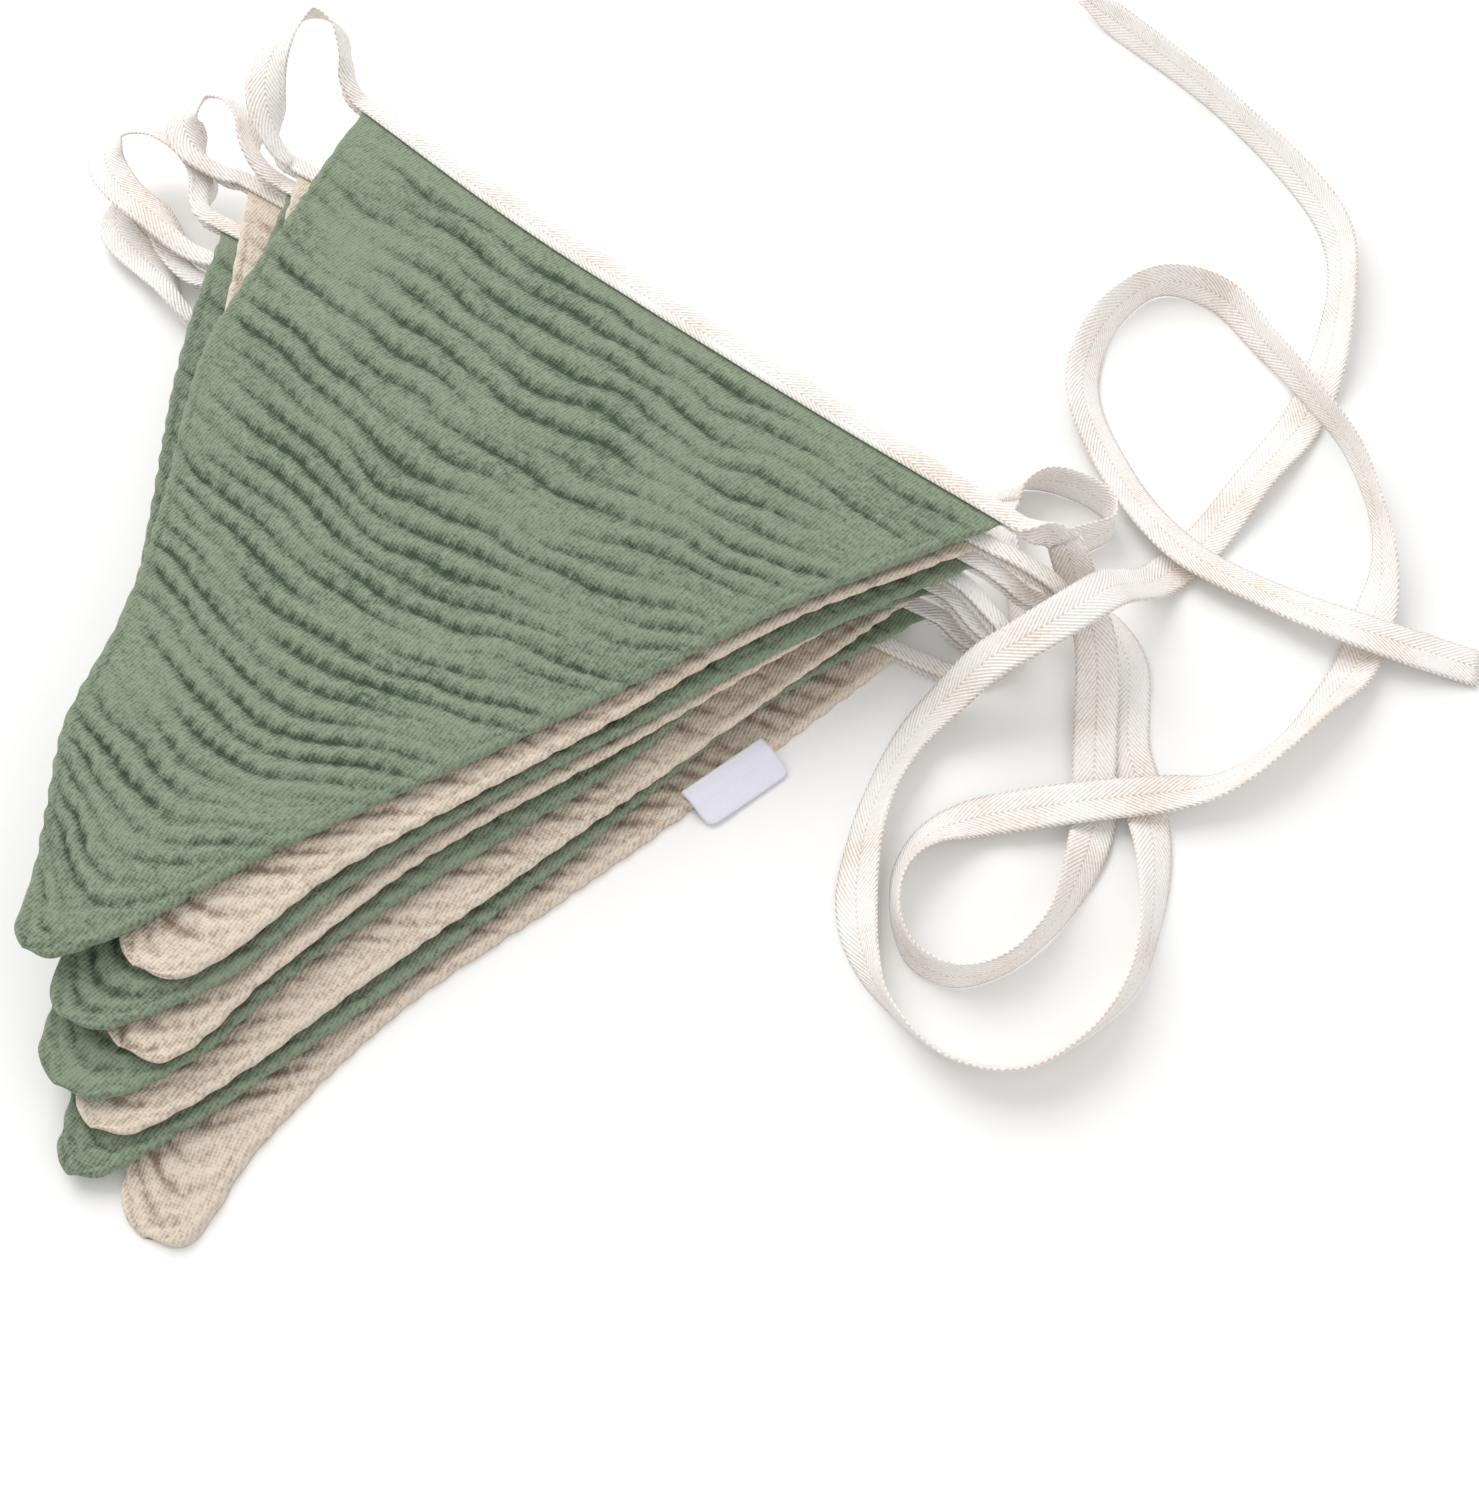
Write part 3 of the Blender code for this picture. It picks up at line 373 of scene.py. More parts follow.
def smooth_through(knots, values, at):
    """Cubic Hermite curve through the values; each slope is the weighted mean of the two chords beside it."""
    span = np.diff(knots)[:, None]
    chord = np.diff(values, axis=0) / span
    slope = np.empty_like(values)
    slope[0] = chord[0]
    slope[-1] = chord[-1]
    slope[1:-1] = (chord[:-1] * span[1:] + chord[1:] * span[:-1]) / (span[:-1] + span[1:])
    index = np.clip(np.searchsorted(knots, at, side="right") - 1, 0, len(span) - 1)
    width = span[index]
    t = ((at - knots[index]) / width[:, 0])[:, None]
    rise = t * t * (3.0 - 2.0 * t)
    start = mix(values[index], values[index + 1], rise)
    return start + width * t * (1.0 - t) * ((1.0 - t) * slope[index] - t * slope[index + 1])


def read_table(table, at):
    """Smooth reading of a two-column table that starts at 0 and ends at 1."""
    rows = np.array(table, float)
    return smooth_through(rows[:, 0], rows[:, 1:], at)[:, 0]


def header_axes(pennant):
    """A header's left end, and unit directions on the plan along it and out over it."""
    left = np.array(pennant.left)
    along = np.array(pennant.right) - left
    along /= np.linalg.norm(along)
    return left, along, np.array((-along[1], along[0]))


def header_place(pennant, x, y):
    """Distances of a place along a header from its left end, and out over it."""
    left, along, outward = header_axes(pennant)
    x, y = x - left[0], y - left[1]
    return x * along[0] + y * along[1], x * outward[0] + y * outward[1]


def layer_height(x, y, layer):
    """Middle height of a layer: an even pitch in the field and a wider one where the headers lie."""
    _, outward = header_place(PENNANTS[-1], x, y)
    gather = smoothstep(outward, *GATHER_ENDS)
    height = mix(CLOTH_FLOOR + CLOTH_PITCH * layer, HEADER_FLOOR + HEADER_PITCH * layer, gather)
    if layer == TOP_LAYER:
        height = height + corner_lift(x, y)
    return height


def corner_lift(x, y):
    """Extra height of the top pennant towards its left corner."""
    run, outward = header_place(PENNANTS[0], x, y)
    near = 1.0 - smoothstep(run, 0.0, LIFT_ALONG)
    return CORNER_LIFT * near * (1.0 - smoothstep(-outward, LIFT_FLAT, LIFT_FLAT + LIFT_ACROSS))


def edge_points(pennant, corner, other, bow, fraction):
    """Points on one side edge: a straight line from apex to corner, bowed outwards by its table."""
    corner = np.array(corner)
    apex = sharp_apex(pennant)
    line = corner - apex
    outward = np.array((line[1], -line[0])) / np.linalg.norm(line)
    if np.dot(outward, np.array(other) - apex) > 0.0:
        outward = -outward
    table = ((0.0, 0.0),) + bow + ((1.0, 0.0),)
    offset = read_table(table, fraction)
    return apex + fraction[:, None] * line + offset[:, None] * outward


def pennant_axis(pennant):
    """Unit direction from tip to header, and the length between them."""
    middle = (np.array(pennant.left) + np.array(pennant.right)) / 2.0
    axis = middle - np.array(pennant.tip)
    length = np.linalg.norm(axis)
    return axis / length, length


def sharp_apex(pennant):
    axis, _ = pennant_axis(pennant)
    return np.array(pennant.tip) - APEX_REACH * pennant.tip_round * axis


def tip_shrink(pennant, depth):
    """Share of the wedge's width that the rounded tip keeps at this depth from its end."""
    radius = pennant.tip_round
    wedge = (depth + APEX_REACH * radius) * math.tan(HALF_APEX)
    arc = np.sqrt(np.maximum(radius ** 2 - (radius - np.minimum(depth, radius)) ** 2, 0.0))
    return np.where(depth < TANGENT_DEPTH * radius, np.minimum(arc / wedge, 1.0), 1.0)


def station_rows(stations):
    """Position, lean, fold, lip and outward way of loop stations, which no header holds."""
    return [(*station, 0.0, 0.0, 0.0) for station in stations]


def bend_rows(bends, index):
    """The same for hairpin stations, whose fold faces outwards as on the header before them."""
    _, _, outward = header_axes(PENNANTS[index])
    return [(x, y, z, 0.0, fold, 0.0, *outward) for x, y, z, fold in bends]


def header_rows(index):
    """Stations along one header in the direction of travel: position, lean, fold, lip and outward way."""
    pennant = PENNANTS[index]
    layer = TOP_LAYER - index
    leftward = index % 2 == 0
    right = np.array(pennant.right)
    left, along, outward = header_axes(pennant)
    shares = TOP_COLUMNS if index == 0 else HEADER_STATIONS
    stations = [left + share * (right - left) for share in shares]
    stations = [left - STRAIGHT_END * along] + stations + [right + STRAIGHT_END * along]
    lips = np.zeros(len(stations))
    if index == 0:
        lips = read_table(TOP_LIP, np.array((0.0, *shares, 1.0)))
    rows = []
    for point, lip in zip(stations, lips):
        x, y = point + FOLD_RADIUS * outward
        height = float(layer_height(point[0], point[1], layer))
        rows.append((x, y, height, -90.0 if leftward else 90.0, 1.0, lip, *outward))
    return rows[::-1] if leftward else rows


def header_tape_stations():
    """All stations of the sewn tape from the top join on, and which of them belong to headers."""
    rows = station_rows(TOP_LEAD)
    on_header = [False] * len(rows)
    for index in range(len(PENNANTS)):
        header = header_rows(index)
        rows += header
        on_header += [True] * len(header)
        if index == len(PENNANTS) - 1:
            link = station_rows(BOTTOM_LEAD)
        elif index % 2 == 0:
            link = station_rows(LEFT_LOOPS[index // 2])
        else:
            link = bend_rows(RIGHT_LOOPS[index // 2], index)
        rows += link
        on_header += [False] * len(link)
    return np.array(rows), on_header


def stretch_lengths(points):
    """Straight distances from each point to the next."""
    return np.linalg.norm(np.diff(points, axis=0), axis=1)


def sample_route(rows, steps):
    """Smooth route through the stations, each stretch cut into the given number of steps."""
    knots = np.concatenate(((0.0,), np.cumsum(np.sqrt(stretch_lengths(rows[:, :3])))))
    at = [np.linspace(knots[i], knots[i + 1], count, endpoint=False) for i, count in enumerate(steps)]
    return smooth_through(knots, rows, np.concatenate(at + [knots[-1:]]))


def unit_rows(vectors):
    return vectors / np.linalg.norm(vectors, axis=1, keepdims=True)


def unit(vector):
    return unit_rows(np.array([vector]))[0]


def travel_directions(points):
    return unit_rows(np.gradient(points, axis=0))


def tape_frame(points, lean, start_way, end_way):
    """Unit directions across the tape and out of its face.

    lean turns it about its travel from flat, right edge up. A way given for an end squares it to its join.
    """
    travel = travel_directions(points)
    if start_way is not None:
        travel[0] = unit(start_way)
    if end_way is not None:
        travel[-1] = unit(end_way)
    side = unit_rows(np.cross(travel, (0.0, 0.0, 1.0)))
    rise = np.cross(side, travel)
    lean = np.radians(lean)[:, None]
    across = np.cos(lean) * side + np.sin(lean) * rise
    return across, np.cross(across, travel)


def face_outwards(points, frame, outward):
    """The frame, turned so that its face looks outwards wherever an outward way is given."""
    travel = travel_directions(points)
    flat = np.column_stack((outward, np.zeros(len(points))))
    normal = flat - np.sum(flat * travel, axis=1, keepdims=True) * travel
    held = np.linalg.norm(outward, axis=1, keepdims=True) > HELD_LENGTH
    normal = unit_rows(np.where(held, normal, frame[1]))
    return np.where(held, np.cross(travel, normal), frame[0]), normal


def tie_route(table, step):
    """Centre points of a tie and its lean in degrees, step millimetres apart."""
    rows = np.array(table, float)
    lean = np.radians(rows[:, 3])
    rise = TAPE_WIDTH / 2.0 * np.abs(np.sin(lean)) + HALF_TAPE * np.abs(np.cos(lean))
    height = TIE_REST + rows[:, 2] + rise
    stations = np.column_stack((rows[:, 0], rows[:, 1], height, rows[:, 3]))
    gaps = stretch_lengths(stations[:, :3])
    route = sample_route(stations, [max(1, round(gap / step)) for gap in gaps])
    return route[:, :3], route[:, 3]


def column_places(width, pitch, full_width, crowd):
    """Distances from the left edge, for every row: close steps at both rims and wider ones between.

    The rim steps shrink where a row is narrower than they need. crowd draws the steps between towards the rims.
    """
    steps = np.array(RIM_STEPS)
    shrink = np.minimum(1.0, RIM_SHARE * width / steps[-1])[:, None]
    left = steps[None, :] * shrink
    inner = max(LEAST_COLUMNS, round(full_width / pitch))
    share = np.linspace(0.0, 1.0, inner + 2)[1:-1][None, :]
    share = mix(share, share * share * (3.0 - 2.0 * share), crowd)
    start = left[:, -1:]
    middle = start + share * (width[:, None] - 2.0 * start)
    return np.hstack((left, middle, width[:, None] - left[:, ::-1]))


def sway(rng, x, y, size):
    """Smooth unevenness between about -1 and 1: plane sine waves in all directions, about size long."""
    angles = rng.uniform(0.0, math.pi, SWAY_WAVES)
    phases = rng.uniform(0.0, SWAY_PHASE, SWAY_WAVES)
    stretches = rng.uniform(*SWAY_STRETCH, SWAY_WAVES)
    total = np.zeros_like(x)
    for angle, phase, stretch in zip(angles, phases, stretches):
        run = x * math.cos(angle) + y * math.sin(angle)
        total += np.sin(run * 2.0 * math.pi / (size * stretch) + phase)
    return total / SWAY_SUM


def creases(rng, line, across, width, level):
    """Troughs at every whole CREASE_PITCH of line, each fading in and out along itself, and the puffs beside them.

    A trough falls off as an exponential of the distance to its scalloped middle. Returns the troughs, the puffs,
    which follow the scallops under a bell curve of the distance, and the valleys, a raised cosine of it.
    """
    number = np.round(line / CREASE_PITCH)
    chosen = (number - number.min()).astype(int)
    a, b, c = (phase[chosen] for phase in rng.uniform(0.0, 2.0 * math.pi, (3, chosen.max() + 1)))
    slow, quick = FADE_LENGTHS
    fade = level + FADE_SWING * np.sin(across / slow + a) + FADE_SWING * np.sin(across / quick + b)
    strength = np.clip(fade, 0.0, 1.0)
    drift = SCALLOP_DRIFT * np.sin(across / DRIFT_LENGTH + a)
    scallop = np.sin(across * 2.0 * math.pi / SCALLOP_PITCH + c + drift)
    away = line - number * CREASE_PITCH + SCALLOP_SHIFT * scallop
    trough = strength * np.exp(-np.abs(away) / width)
    valley = strength * (0.5 + 0.5 * np.cos(2.0 * math.pi * np.clip(away / CREASE_PITCH, -0.5, 0.5)))
    return trough, PUCKER * scallop * strength * np.exp(-(away / PUCKER_REACH) ** 2), valley


def crinkles(index, inward, across, share):
    """Depth of the crinkles under the crown, the painted shade in the creases, and the main valleys.

    Creases lie CREASE_PITCH apart, parallel to the header, arched as share times 1 - share squared. Waves of
    unevenness shift them, and a second, fainter set lies between them.
    """
    rng = np.random.default_rng(CREASE_SEED + index)
    line = inward - CREASE_ARCH * share * (1.0 - share ** 2) * smoothstep(inward, *ARCH_ENDS)
    for shift, size in CREASE_SWAYS:
        line = line + shift * sway(rng, across, inward, size)
    main, puffs, valley = creases(rng, line, across, CREASE_WIDTH, MAIN_LEVEL)
    shift, size = MINOR_SWAY
    between = line + CREASE_PITCH / 2.0 + shift * sway(rng, across, inward, size)
    minor, small_puffs, dent = creases(rng, between, across, MINOR_WIDTH, MINOR_LEVEL)
    parts = (main, minor, valley, dent, puffs, small_puffs, sway(rng, across, inward, LUMP_SIZE))
    depth = sum(given * part for given, part in zip(DEPTH_SHARES, parts))
    return CREASE_DEPTH * depth, sum(given * part for given, part in zip(SHADE_SHARES, parts)), valley


def pennant_surface(index):
    """Face and back grids of one pennant, in plan millimetres, with its cloth coordinates and its mask of painted
    shade.

    A row runs from the left edge to the right one at a share of the way from apex to header. The half thickness
    rises as a circle at the rim, swells, and settles to the field's value; inside the header fold it is squeezed.
    The face is the half thickness plus the crown, less the crinkles and the seam, whose section is a bell curve.
    """
    pennant = PENNANTS[index]
    layer = TOP_LAYER - index
    _, length = pennant_axis(pennant)
    row_pitch, column_pitch, crowd = TOP_GRID if index == 0 else INNER_GRID
    field_depths = np.linspace(length - HEADER_INSET, TIP_START, round(length / row_pitch))
    depth = np.concatenate((field_depths, TIP_DEPTHS[::-1]))
    reach = APEX_REACH * pennant.tip_round
    even = (depth + reach) / (length + reach)
    _, _, width = row_ends(pennant, depth, even)
    along = column_places(width, column_pitch, width[0], crowd)
    place = along / width[:, None]
    bend = RIDGE_BEND / length * 4.0 * (even * (1.0 - even))[:, None] * smoothstep(place, BEND_FROM, 1.0)
    fraction = np.minimum(even[:, None] + bend, 1.0)
    left, right, _ = row_ends(pennant, np.repeat(depth, place.shape[1]), fraction.ravel())
    plan = mix(left, right, place.reshape(-1, 1)).reshape(*place.shape, 2)
    edge = np.minimum(along, width[:, None] - along)
    inward = (length - depth)[:, None] + 0.0 * along
    squeeze = 1.0 - smoothstep(inward, *SQUEEZE_ENDS)
    field = smoothstep(edge, RIM_INSET, PUFF_WIDTH)
    taper = np.sqrt(np.clip(depth / RIM_ROUND, 0.0, 1.0))[:, None]
    rounding = np.sqrt(np.clip(1.0 - (1.0 - np.minimum(edge / RIM_ROUND, 1.0)) ** 2, 0.0, 1.0))
    half = mix(mix(HALF_RIM, HALF_CLOTH, field) * taper, HALF_SQUEEZED, squeeze) * rounding
    # The crinkles' second share is the painted shade that darkens the creases
    crease, shade_mask, valley = crinkles(index, inward, along - 0.5 * width[:, None], place)
    nip = RIM_NIP * valley * np.exp(-edge / NIP_REACH) * np.where(place < 0.5, 1.0, -1.0) * taper
    plan = plan + nip[..., None] * ((plan[:, -1] - plan[:, 0]) / np.maximum(width[:, None], 1.0))[:, None, :]
    calm = mix(CALM_SHARE, 1.0, smoothstep(edge, *CALM_ENDS)) * (1.0 - squeeze) * taper * rounding
    off_seam = edge - SEAM_INSET - SEAM_WANDER * np.sin(inward / WANDER_LENGTH)
    seam = SEAM_DEPTH * np.exp(-(off_seam / SEAM_WIDTH) ** 2) * (1.0 - squeeze) * taper
    crown, scale = CREASE_TOP if index == 0 else CREASE_INNER
    relief = crown * calm - (crease * calm + SEAM_SINK * seam) * scale
    middle = layer_height(plan[..., 0], plan[..., 1], layer)
    if layer == 0:
        middle = mix(half, HEADER_FLOOR + 0.0 * half, squeeze)
    face = np.dstack((plan, middle + np.maximum(half + relief, LEAST_FACE * half)))
    back = np.dstack((plan, middle - half))
    cloth = np.dstack((along - 0.5 * width[:, None], inward))
    # Mask of painted shade: the creases' share, calmed towards the rim, and the seam's
    return face, back, cloth, np.maximum(shade_mask * calm, SEAM_SHADE * seam)


def row_ends(pennant, depth, fraction):
    """Left and right ends of the rows and their widths; rows in the rounded tip are drawn in to its circle."""
    left = edge_points(pennant, pennant.left, pennant.right, pennant.left_bow, fraction)
    right = edge_points(pennant, pennant.right, pennant.left, pennant.right_bow, fraction)
    shrink = tip_shrink(pennant, depth)[:, None]
    middle = (left + right) / 2.0
    left, right = mix(middle, left, shrink), mix(middle, right, shrink)
    return left, right, np.maximum(np.linalg.norm(right - left, axis=1), LEAST_WIDTH)


def tape_half(place, thinning):
    """Half thickness of the tape, which eases to less at its edges."""
    return HALF_TAPE * (1.0 - thinning * smoothstep(np.abs(place), EDGE_FROM, TAPE_WIDTH / 2.0))


def moved(rows, shift, way):
    """Rows of points, each point shifted by its own distance along its row's direction."""
    return rows + shift[..., None] * way[:, None]


def ribbon_section(points, frame_axes, fold, lip):
    """Outer and inner rows of a tape that folds by half a turn where fold is 1, and the place across it.

    The middle strip bends as an arc of constant length FOLD_ARC and the wings run straight from its ends.
    """
    across, normal = frame_axes
    turn = np.clip(fold, LEAST_FOLD, 1.0)[:, None] * math.pi
    radius = FOLD_ARC / turn
    arc = np.linspace(-0.5, 0.5, ACROSS_ARC)[None, :]
    share = np.linspace(1.0, 0.0, ACROSS_WING, endpoint=False)[None, :]
    half = turn / 2.0
    angle = np.hstack((-half + 0.0 * share, arc * turn, half + 0.0 * share))
    bow_u, bow_w = radius * np.sin(arc * turn), radius * (np.cos(arc * turn) - 1.0)
    left_wing, right_wing = (WING + lip)[:, None] * share, (WING - lip)[:, None] * share[:, ::-1]
    u = np.hstack((bow_u[:, :1] - left_wing * np.cos(half), bow_u, bow_u[:, -1:] + right_wing * np.cos(half)))
    w = np.hstack((bow_w[:, :1] - left_wing * np.sin(half), bow_w, bow_w[:, -1:] - right_wing * np.sin(half)))
    place = np.hstack((-FOLD_ARC / 2.0 - left_wing, arc * FOLD_ARC + 0.0 * turn, FOLD_ARC / 2.0 + right_wing))
    thick = tape_half(place, HEADER_THINNING)
    outer, inner = (moved(moved(points[:, None], u + side * thick * np.sin(angle), across),
                          w + side * thick * np.cos(angle), normal) for side in (1.0, -1.0))
    return outer, inner, place


def header_route():
    """Centre line of the sewn tape in fine steps, with lean, fold, lip and outward way."""
    rows, on_header = header_tape_stations()
    gaps = stretch_lengths(rows[:, :3])
    both = [first and second for first, second in zip(on_header[:-1], on_header[1:])]
    steps = [max(1, round(gap / (HEADER_FINE if sewn else LOOP_FINE))) for gap, sewn in zip(gaps, both)]
    return sample_route(rows, steps)


def path_lengths(points):
    """Distance travelled along a line of points."""
    return np.concatenate(((0.0,), np.cumsum(stretch_lengths(points))))


def tie_surface(table, join_way, frayed):
    """Face and back rows of a tie with its centre line.

    The section is flat with thin edges, and ripples as the product of two sines along the tape. One free end is
    frayed, the other narrows to TAPER_SHARE.
    """
    points, lean = tie_route(table, TIE_FINE)
    points[0] = points[0] + GAP / 2.0 * unit(join_way)
    across, normal = tape_frame(points, lean, join_way, None)
    run = path_lengths(points)
    down = run[:, None]
    place = np.linspace(-1.0, 1.0, ACROSS_TIE)[None, :] * TAPE_WIDTH / 2.0 + 0.0 * down
    left = run[-1] - down
    if not frayed:
        place = place * mix(TAPER_SHARE, 1.0, smoothstep(left, 0.0, TAPER_LENGTH))
    thick = tape_half(place, TIE_THINNING)
    ease = smoothstep(down, *RIPPLE_ENDS)
    length, breadth = RIPPLE_LENGTHS
    wave = ease * RIPPLE * np.sin(down / length + place / breadth) * np.sin(down / RIPPLE_SWELL)
    stretch = np.zeros_like(place)
    if frayed:
        stretch[-1] = np.random.default_rng(FRAY_SEED).uniform(0.0, FRAY, ACROSS_TIE)
    travel = travel_directions(points)
    base = moved(moved(points[:, None], place, across), stretch, travel)
    return moved(base, wave + thick, normal), moved(base, wave - thick, normal), place, run, points


def label_surface():
    """Face and back grids of the bare label: from its seam out over the rim and down to the floor.

    The middle height follows LABEL_ROWS as a smooth curve with a slight sine ripple. The outer corners are quarter
    circles, and the edges are thinner.
    """
    seam = np.array(LABEL_SEAM)
    rows = np.array(LABEL_ROWS)
    slant = np.array(LABEL_SLANT)
    reach = np.linspace(0.0, rows[-1, 0], LABEL_GRID[0])
    height = smooth_through(rows[:, 0], rows[:, 1:], reach)[:, 0]
    length = np.linalg.norm(seam[1] - seam[0])
    drop = np.maximum(reach - (rows[-1, 0] - LABEL_ROUND), 0.0)
    inset = LABEL_ROUND - np.sqrt(np.maximum(LABEL_ROUND ** 2 - drop ** 2, 0.0))
    share = np.linspace(0.0, 1.0, LABEL_GRID[1])[None, :]
    along = inset[:, None] + share * (length - 2.0 * inset[:, None])
    way = (seam[1] - seam[0]) / length
    plan = seam[0] + along[..., None] * way + reach[:, None, None] * slant
    sides = np.minimum(along - inset[:, None], length - inset[:, None] - along)
    edge = np.minimum(sides, rows[-1, 0] - reach[:, None])
    half = LABEL_HALF * mix(LABEL_EDGE_SHARE, 1.0, smoothstep(edge, 0.0, LABEL_EDGE))
    ripple = LABEL_RIPPLE * np.sin(along / LABEL_RIPPLE_LENGTH + 0.4) * smoothstep(reach[:, None], 1.0, 5.0)
    face = np.dstack((plan, height[:, None] + ripple + half))
    back = np.dstack((plan, height[:, None] + ripple - half))
    return face, back, np.dstack((along - length / 2.0, reach[:, None] + 0.0 * along))


def closed_faces(rows, count, shared):
    """Quads round every pair of neighbouring rings, and the caps that pair each ring's face with its back.

    count is the number of points on one side. Where shared is true both sides share their two outermost points.
    """
    ring = 2 * count - 2 if shared else 2 * count
    start = np.arange(rows - 1)[:, None] * ring
    here = np.arange(ring)[None, :]
    after = (here + 1) % ring
    quads = np.stack((start + here, start + after, start + ring + after, start + ring + here), axis=-1)
    side = np.arange(count)
    other = np.where((side == 0) | (side == count - 1), side, ring - side) if shared else ring - 1 - side
    cap = np.stack((side[:-1], other[:-1], other[1:], side[1:]), axis=-1)
    last = (rows - 1) * ring + cap[:, ::-1]
    faces = quads.reshape(-1, 4).tolist() + cap.tolist() + last.tolist()
    return [list(dict.fromkeys(face)) for face in faces]


def cloth_object(name, face, back, coordinates, shade_mask, shared):
    """Closed mesh from face and back grids, with its cloth coordinates in metres as UVs and the mask of painted
    shade.
    """
    rows, count = face.shape[:2]

    def ring(front, rear):
        rear = rear[:, ::-1]
        return np.concatenate((front, rear[:, 1:-1] if shared else rear), axis=1)

    rings = ring(face, back)
    places = ((rings - CENTRE) * MM).reshape(-1, 3)
    places[:, 2] = np.maximum(places[:, 2], 0.0)
    faces = closed_faces(rows, count, shared)
    mesh = bpy.data.meshes.new(name)
    mesh.from_pydata(places, [], faces)
    if signed_volume(mesh, places) < 0.0:
        mesh.flip_normals()
    flat = ring(coordinates, coordinates).reshape(-1, 2) * MM
    corner = np.empty(len(mesh.loops), dtype=np.int32)
    mesh.loops.foreach_get("vertex_index", corner)
    layer = mesh.uv_layers.new(name="cloth")
    layer.uv.foreach_set("vector", flat[corner].ravel())
    # The crease attribute carries the mask of painted shade into the cloth's material
    crease = mesh.attributes.new("crease", "FLOAT", "POINT")
    crease.data.foreach_set("value", ring(shade_mask, shade_mask).ravel())
    mesh.shade_smooth()
    mesh.validate()
    piece = bpy.data.objects.new(name, mesh)
    bpy.context.scene.collection.objects.link(piece)
    return piece


def tape_object(name, outer, inner, place, run):
    """Closed mesh of a tape, whose cloth coordinates are its place across and its run along."""
    return cloth_object(name, outer, inner, np.dstack((place, run[:, None] + 0.0 * place)), 0.0 * place, False)


def signed_volume(mesh, places):
    """Six times the volume that the faces enclose: the sum of the triple products of their triangles."""
    mesh.calc_loop_triangles()
    corners = np.empty(len(mesh.loop_triangles) * 3, dtype=np.int32)
    mesh.loop_triangles.foreach_get("vertices", corners)
    a, b, c = (places[corners.reshape(-1, 3)[:, i]] for i in range(3))
    return float(np.sum(a * np.cross(b, c)))


class Value:
    """A number's socket. Arithmetic on it adds Math nodes, and numbers alone are worked out in Python."""

    def __init__(self, paint, socket):
        self.paint = paint
        self.socket = socket

    def math(self, operation, *others):
        values = {number: other for number, other in enumerate((self, *others))}
        return self.paint.node("ShaderNodeMath", {"operation": operation}, values)

    def __add__(self, other):
        return self.math("ADD", other)

    def __sub__(self, other):
        return self.math("SUBTRACT", other)

    def __mul__(self, other):
        return self.math("MULTIPLY", other)

    __radd__ = __add__
    __rmul__ = __mul__

    def __rsub__(self, other):
        return self.paint.node("ShaderNodeMath", {"operation": "SUBTRACT"}, {0: other, 1: self})

    def sine(self):
        return self.math("SINE")

    def absolute(self):
        return self.math("ABSOLUTE")

    def zigzag(self, pitch):
        """Rises and falls between 0 and pitch / 2 as a triangle wave."""
        return self.math("PINGPONG", pitch / 2.0)

    def ease(self, low, high):
        """Runs smoothly from 0 at low to 1 at high."""
        return self.paint.node("ShaderNodeMapRange", {"interpolation_type": "SMOOTHSTEP"},
                               {"Value": self, "From Min": low, "From Max": high})


class Paint:
    """Node tree of one material."""

    def __init__(self, name):
        self.material = bpy.data.materials.new(name)
        self.material.use_nodes = True
        self.tree = self.material.node_tree
        self.surface = self.tree.nodes["Principled BSDF"]

    def node(self, kind, settings, values, output=0):
        """Adds a node, sets it up, then gives its sockets their values or links."""
        made = self.tree.nodes.new(kind)
        for key, setting in settings.items():
            setattr(made, key, setting)
        for key, value in values.items():
            self.give(made.inputs[key], value)
        return Value(self, made.outputs[output])

    def give(self, socket, value):
        if isinstance(value, Value):
            self.tree.links.new(value.socket, socket)
        else:
            socket.default_value = value

    def blend(self, share, first, second):
        """Colour between two others, through a Mix node. Its colour sockets have the numbers 6, 7 and 2."""
        return self.node("ShaderNodeMix", {"data_type": "RGBA"}, {0: share, 6: first, 7: second}, 2)

    def dyed(self, colour, lighter, cloudy):
        """The colour, which turns into a lighter one in clouds."""
        light = tuple(min(1.0, part * lighter) for part in colour) + (1.0,)
        return self.blend(cloudy.ease(0.3, 0.7), (*colour, 1.0), light)

    def cloth_place(self):
        """The cloth's own coordinates in metres: across and along."""
        place = self.node("ShaderNodeUVMap", {"uv_map": "cloth"}, {})
        split = self.node("ShaderNodeSeparateXYZ", {}, {0: place})
        return split, Value(self, split.socket.node.outputs[1])

    def noise(self, scale, detail):
        place = self.node("ShaderNodeTexCoord", {}, {}, "Object")
        return self.node("ShaderNodeTexNoise", {}, {"Vector": place, "Scale": scale, "Detail": detail})

    def raise_by(self, height, distance, strength):
        """Feeds a Bump node into the surface's Normal."""
        bump = self.node("ShaderNodeBump", {}, {"Height": height, "Distance": distance, "Strength": strength})
        self.give(self.surface.inputs["Normal"], bump)

    def finish(self, colour, roughness, sheen):
        self.give(self.surface.inputs["Base Color"], colour)
        self.give(self.surface.inputs["Roughness"], roughness)
        even = {"Metallic": 0.0, "Sheen Weight": sheen, "Sheen Roughness": 0.5, "Specular IOR Level": 0.2}
        for name, value in even.items():
            self.surface.inputs[name].default_value = value
        return self.material


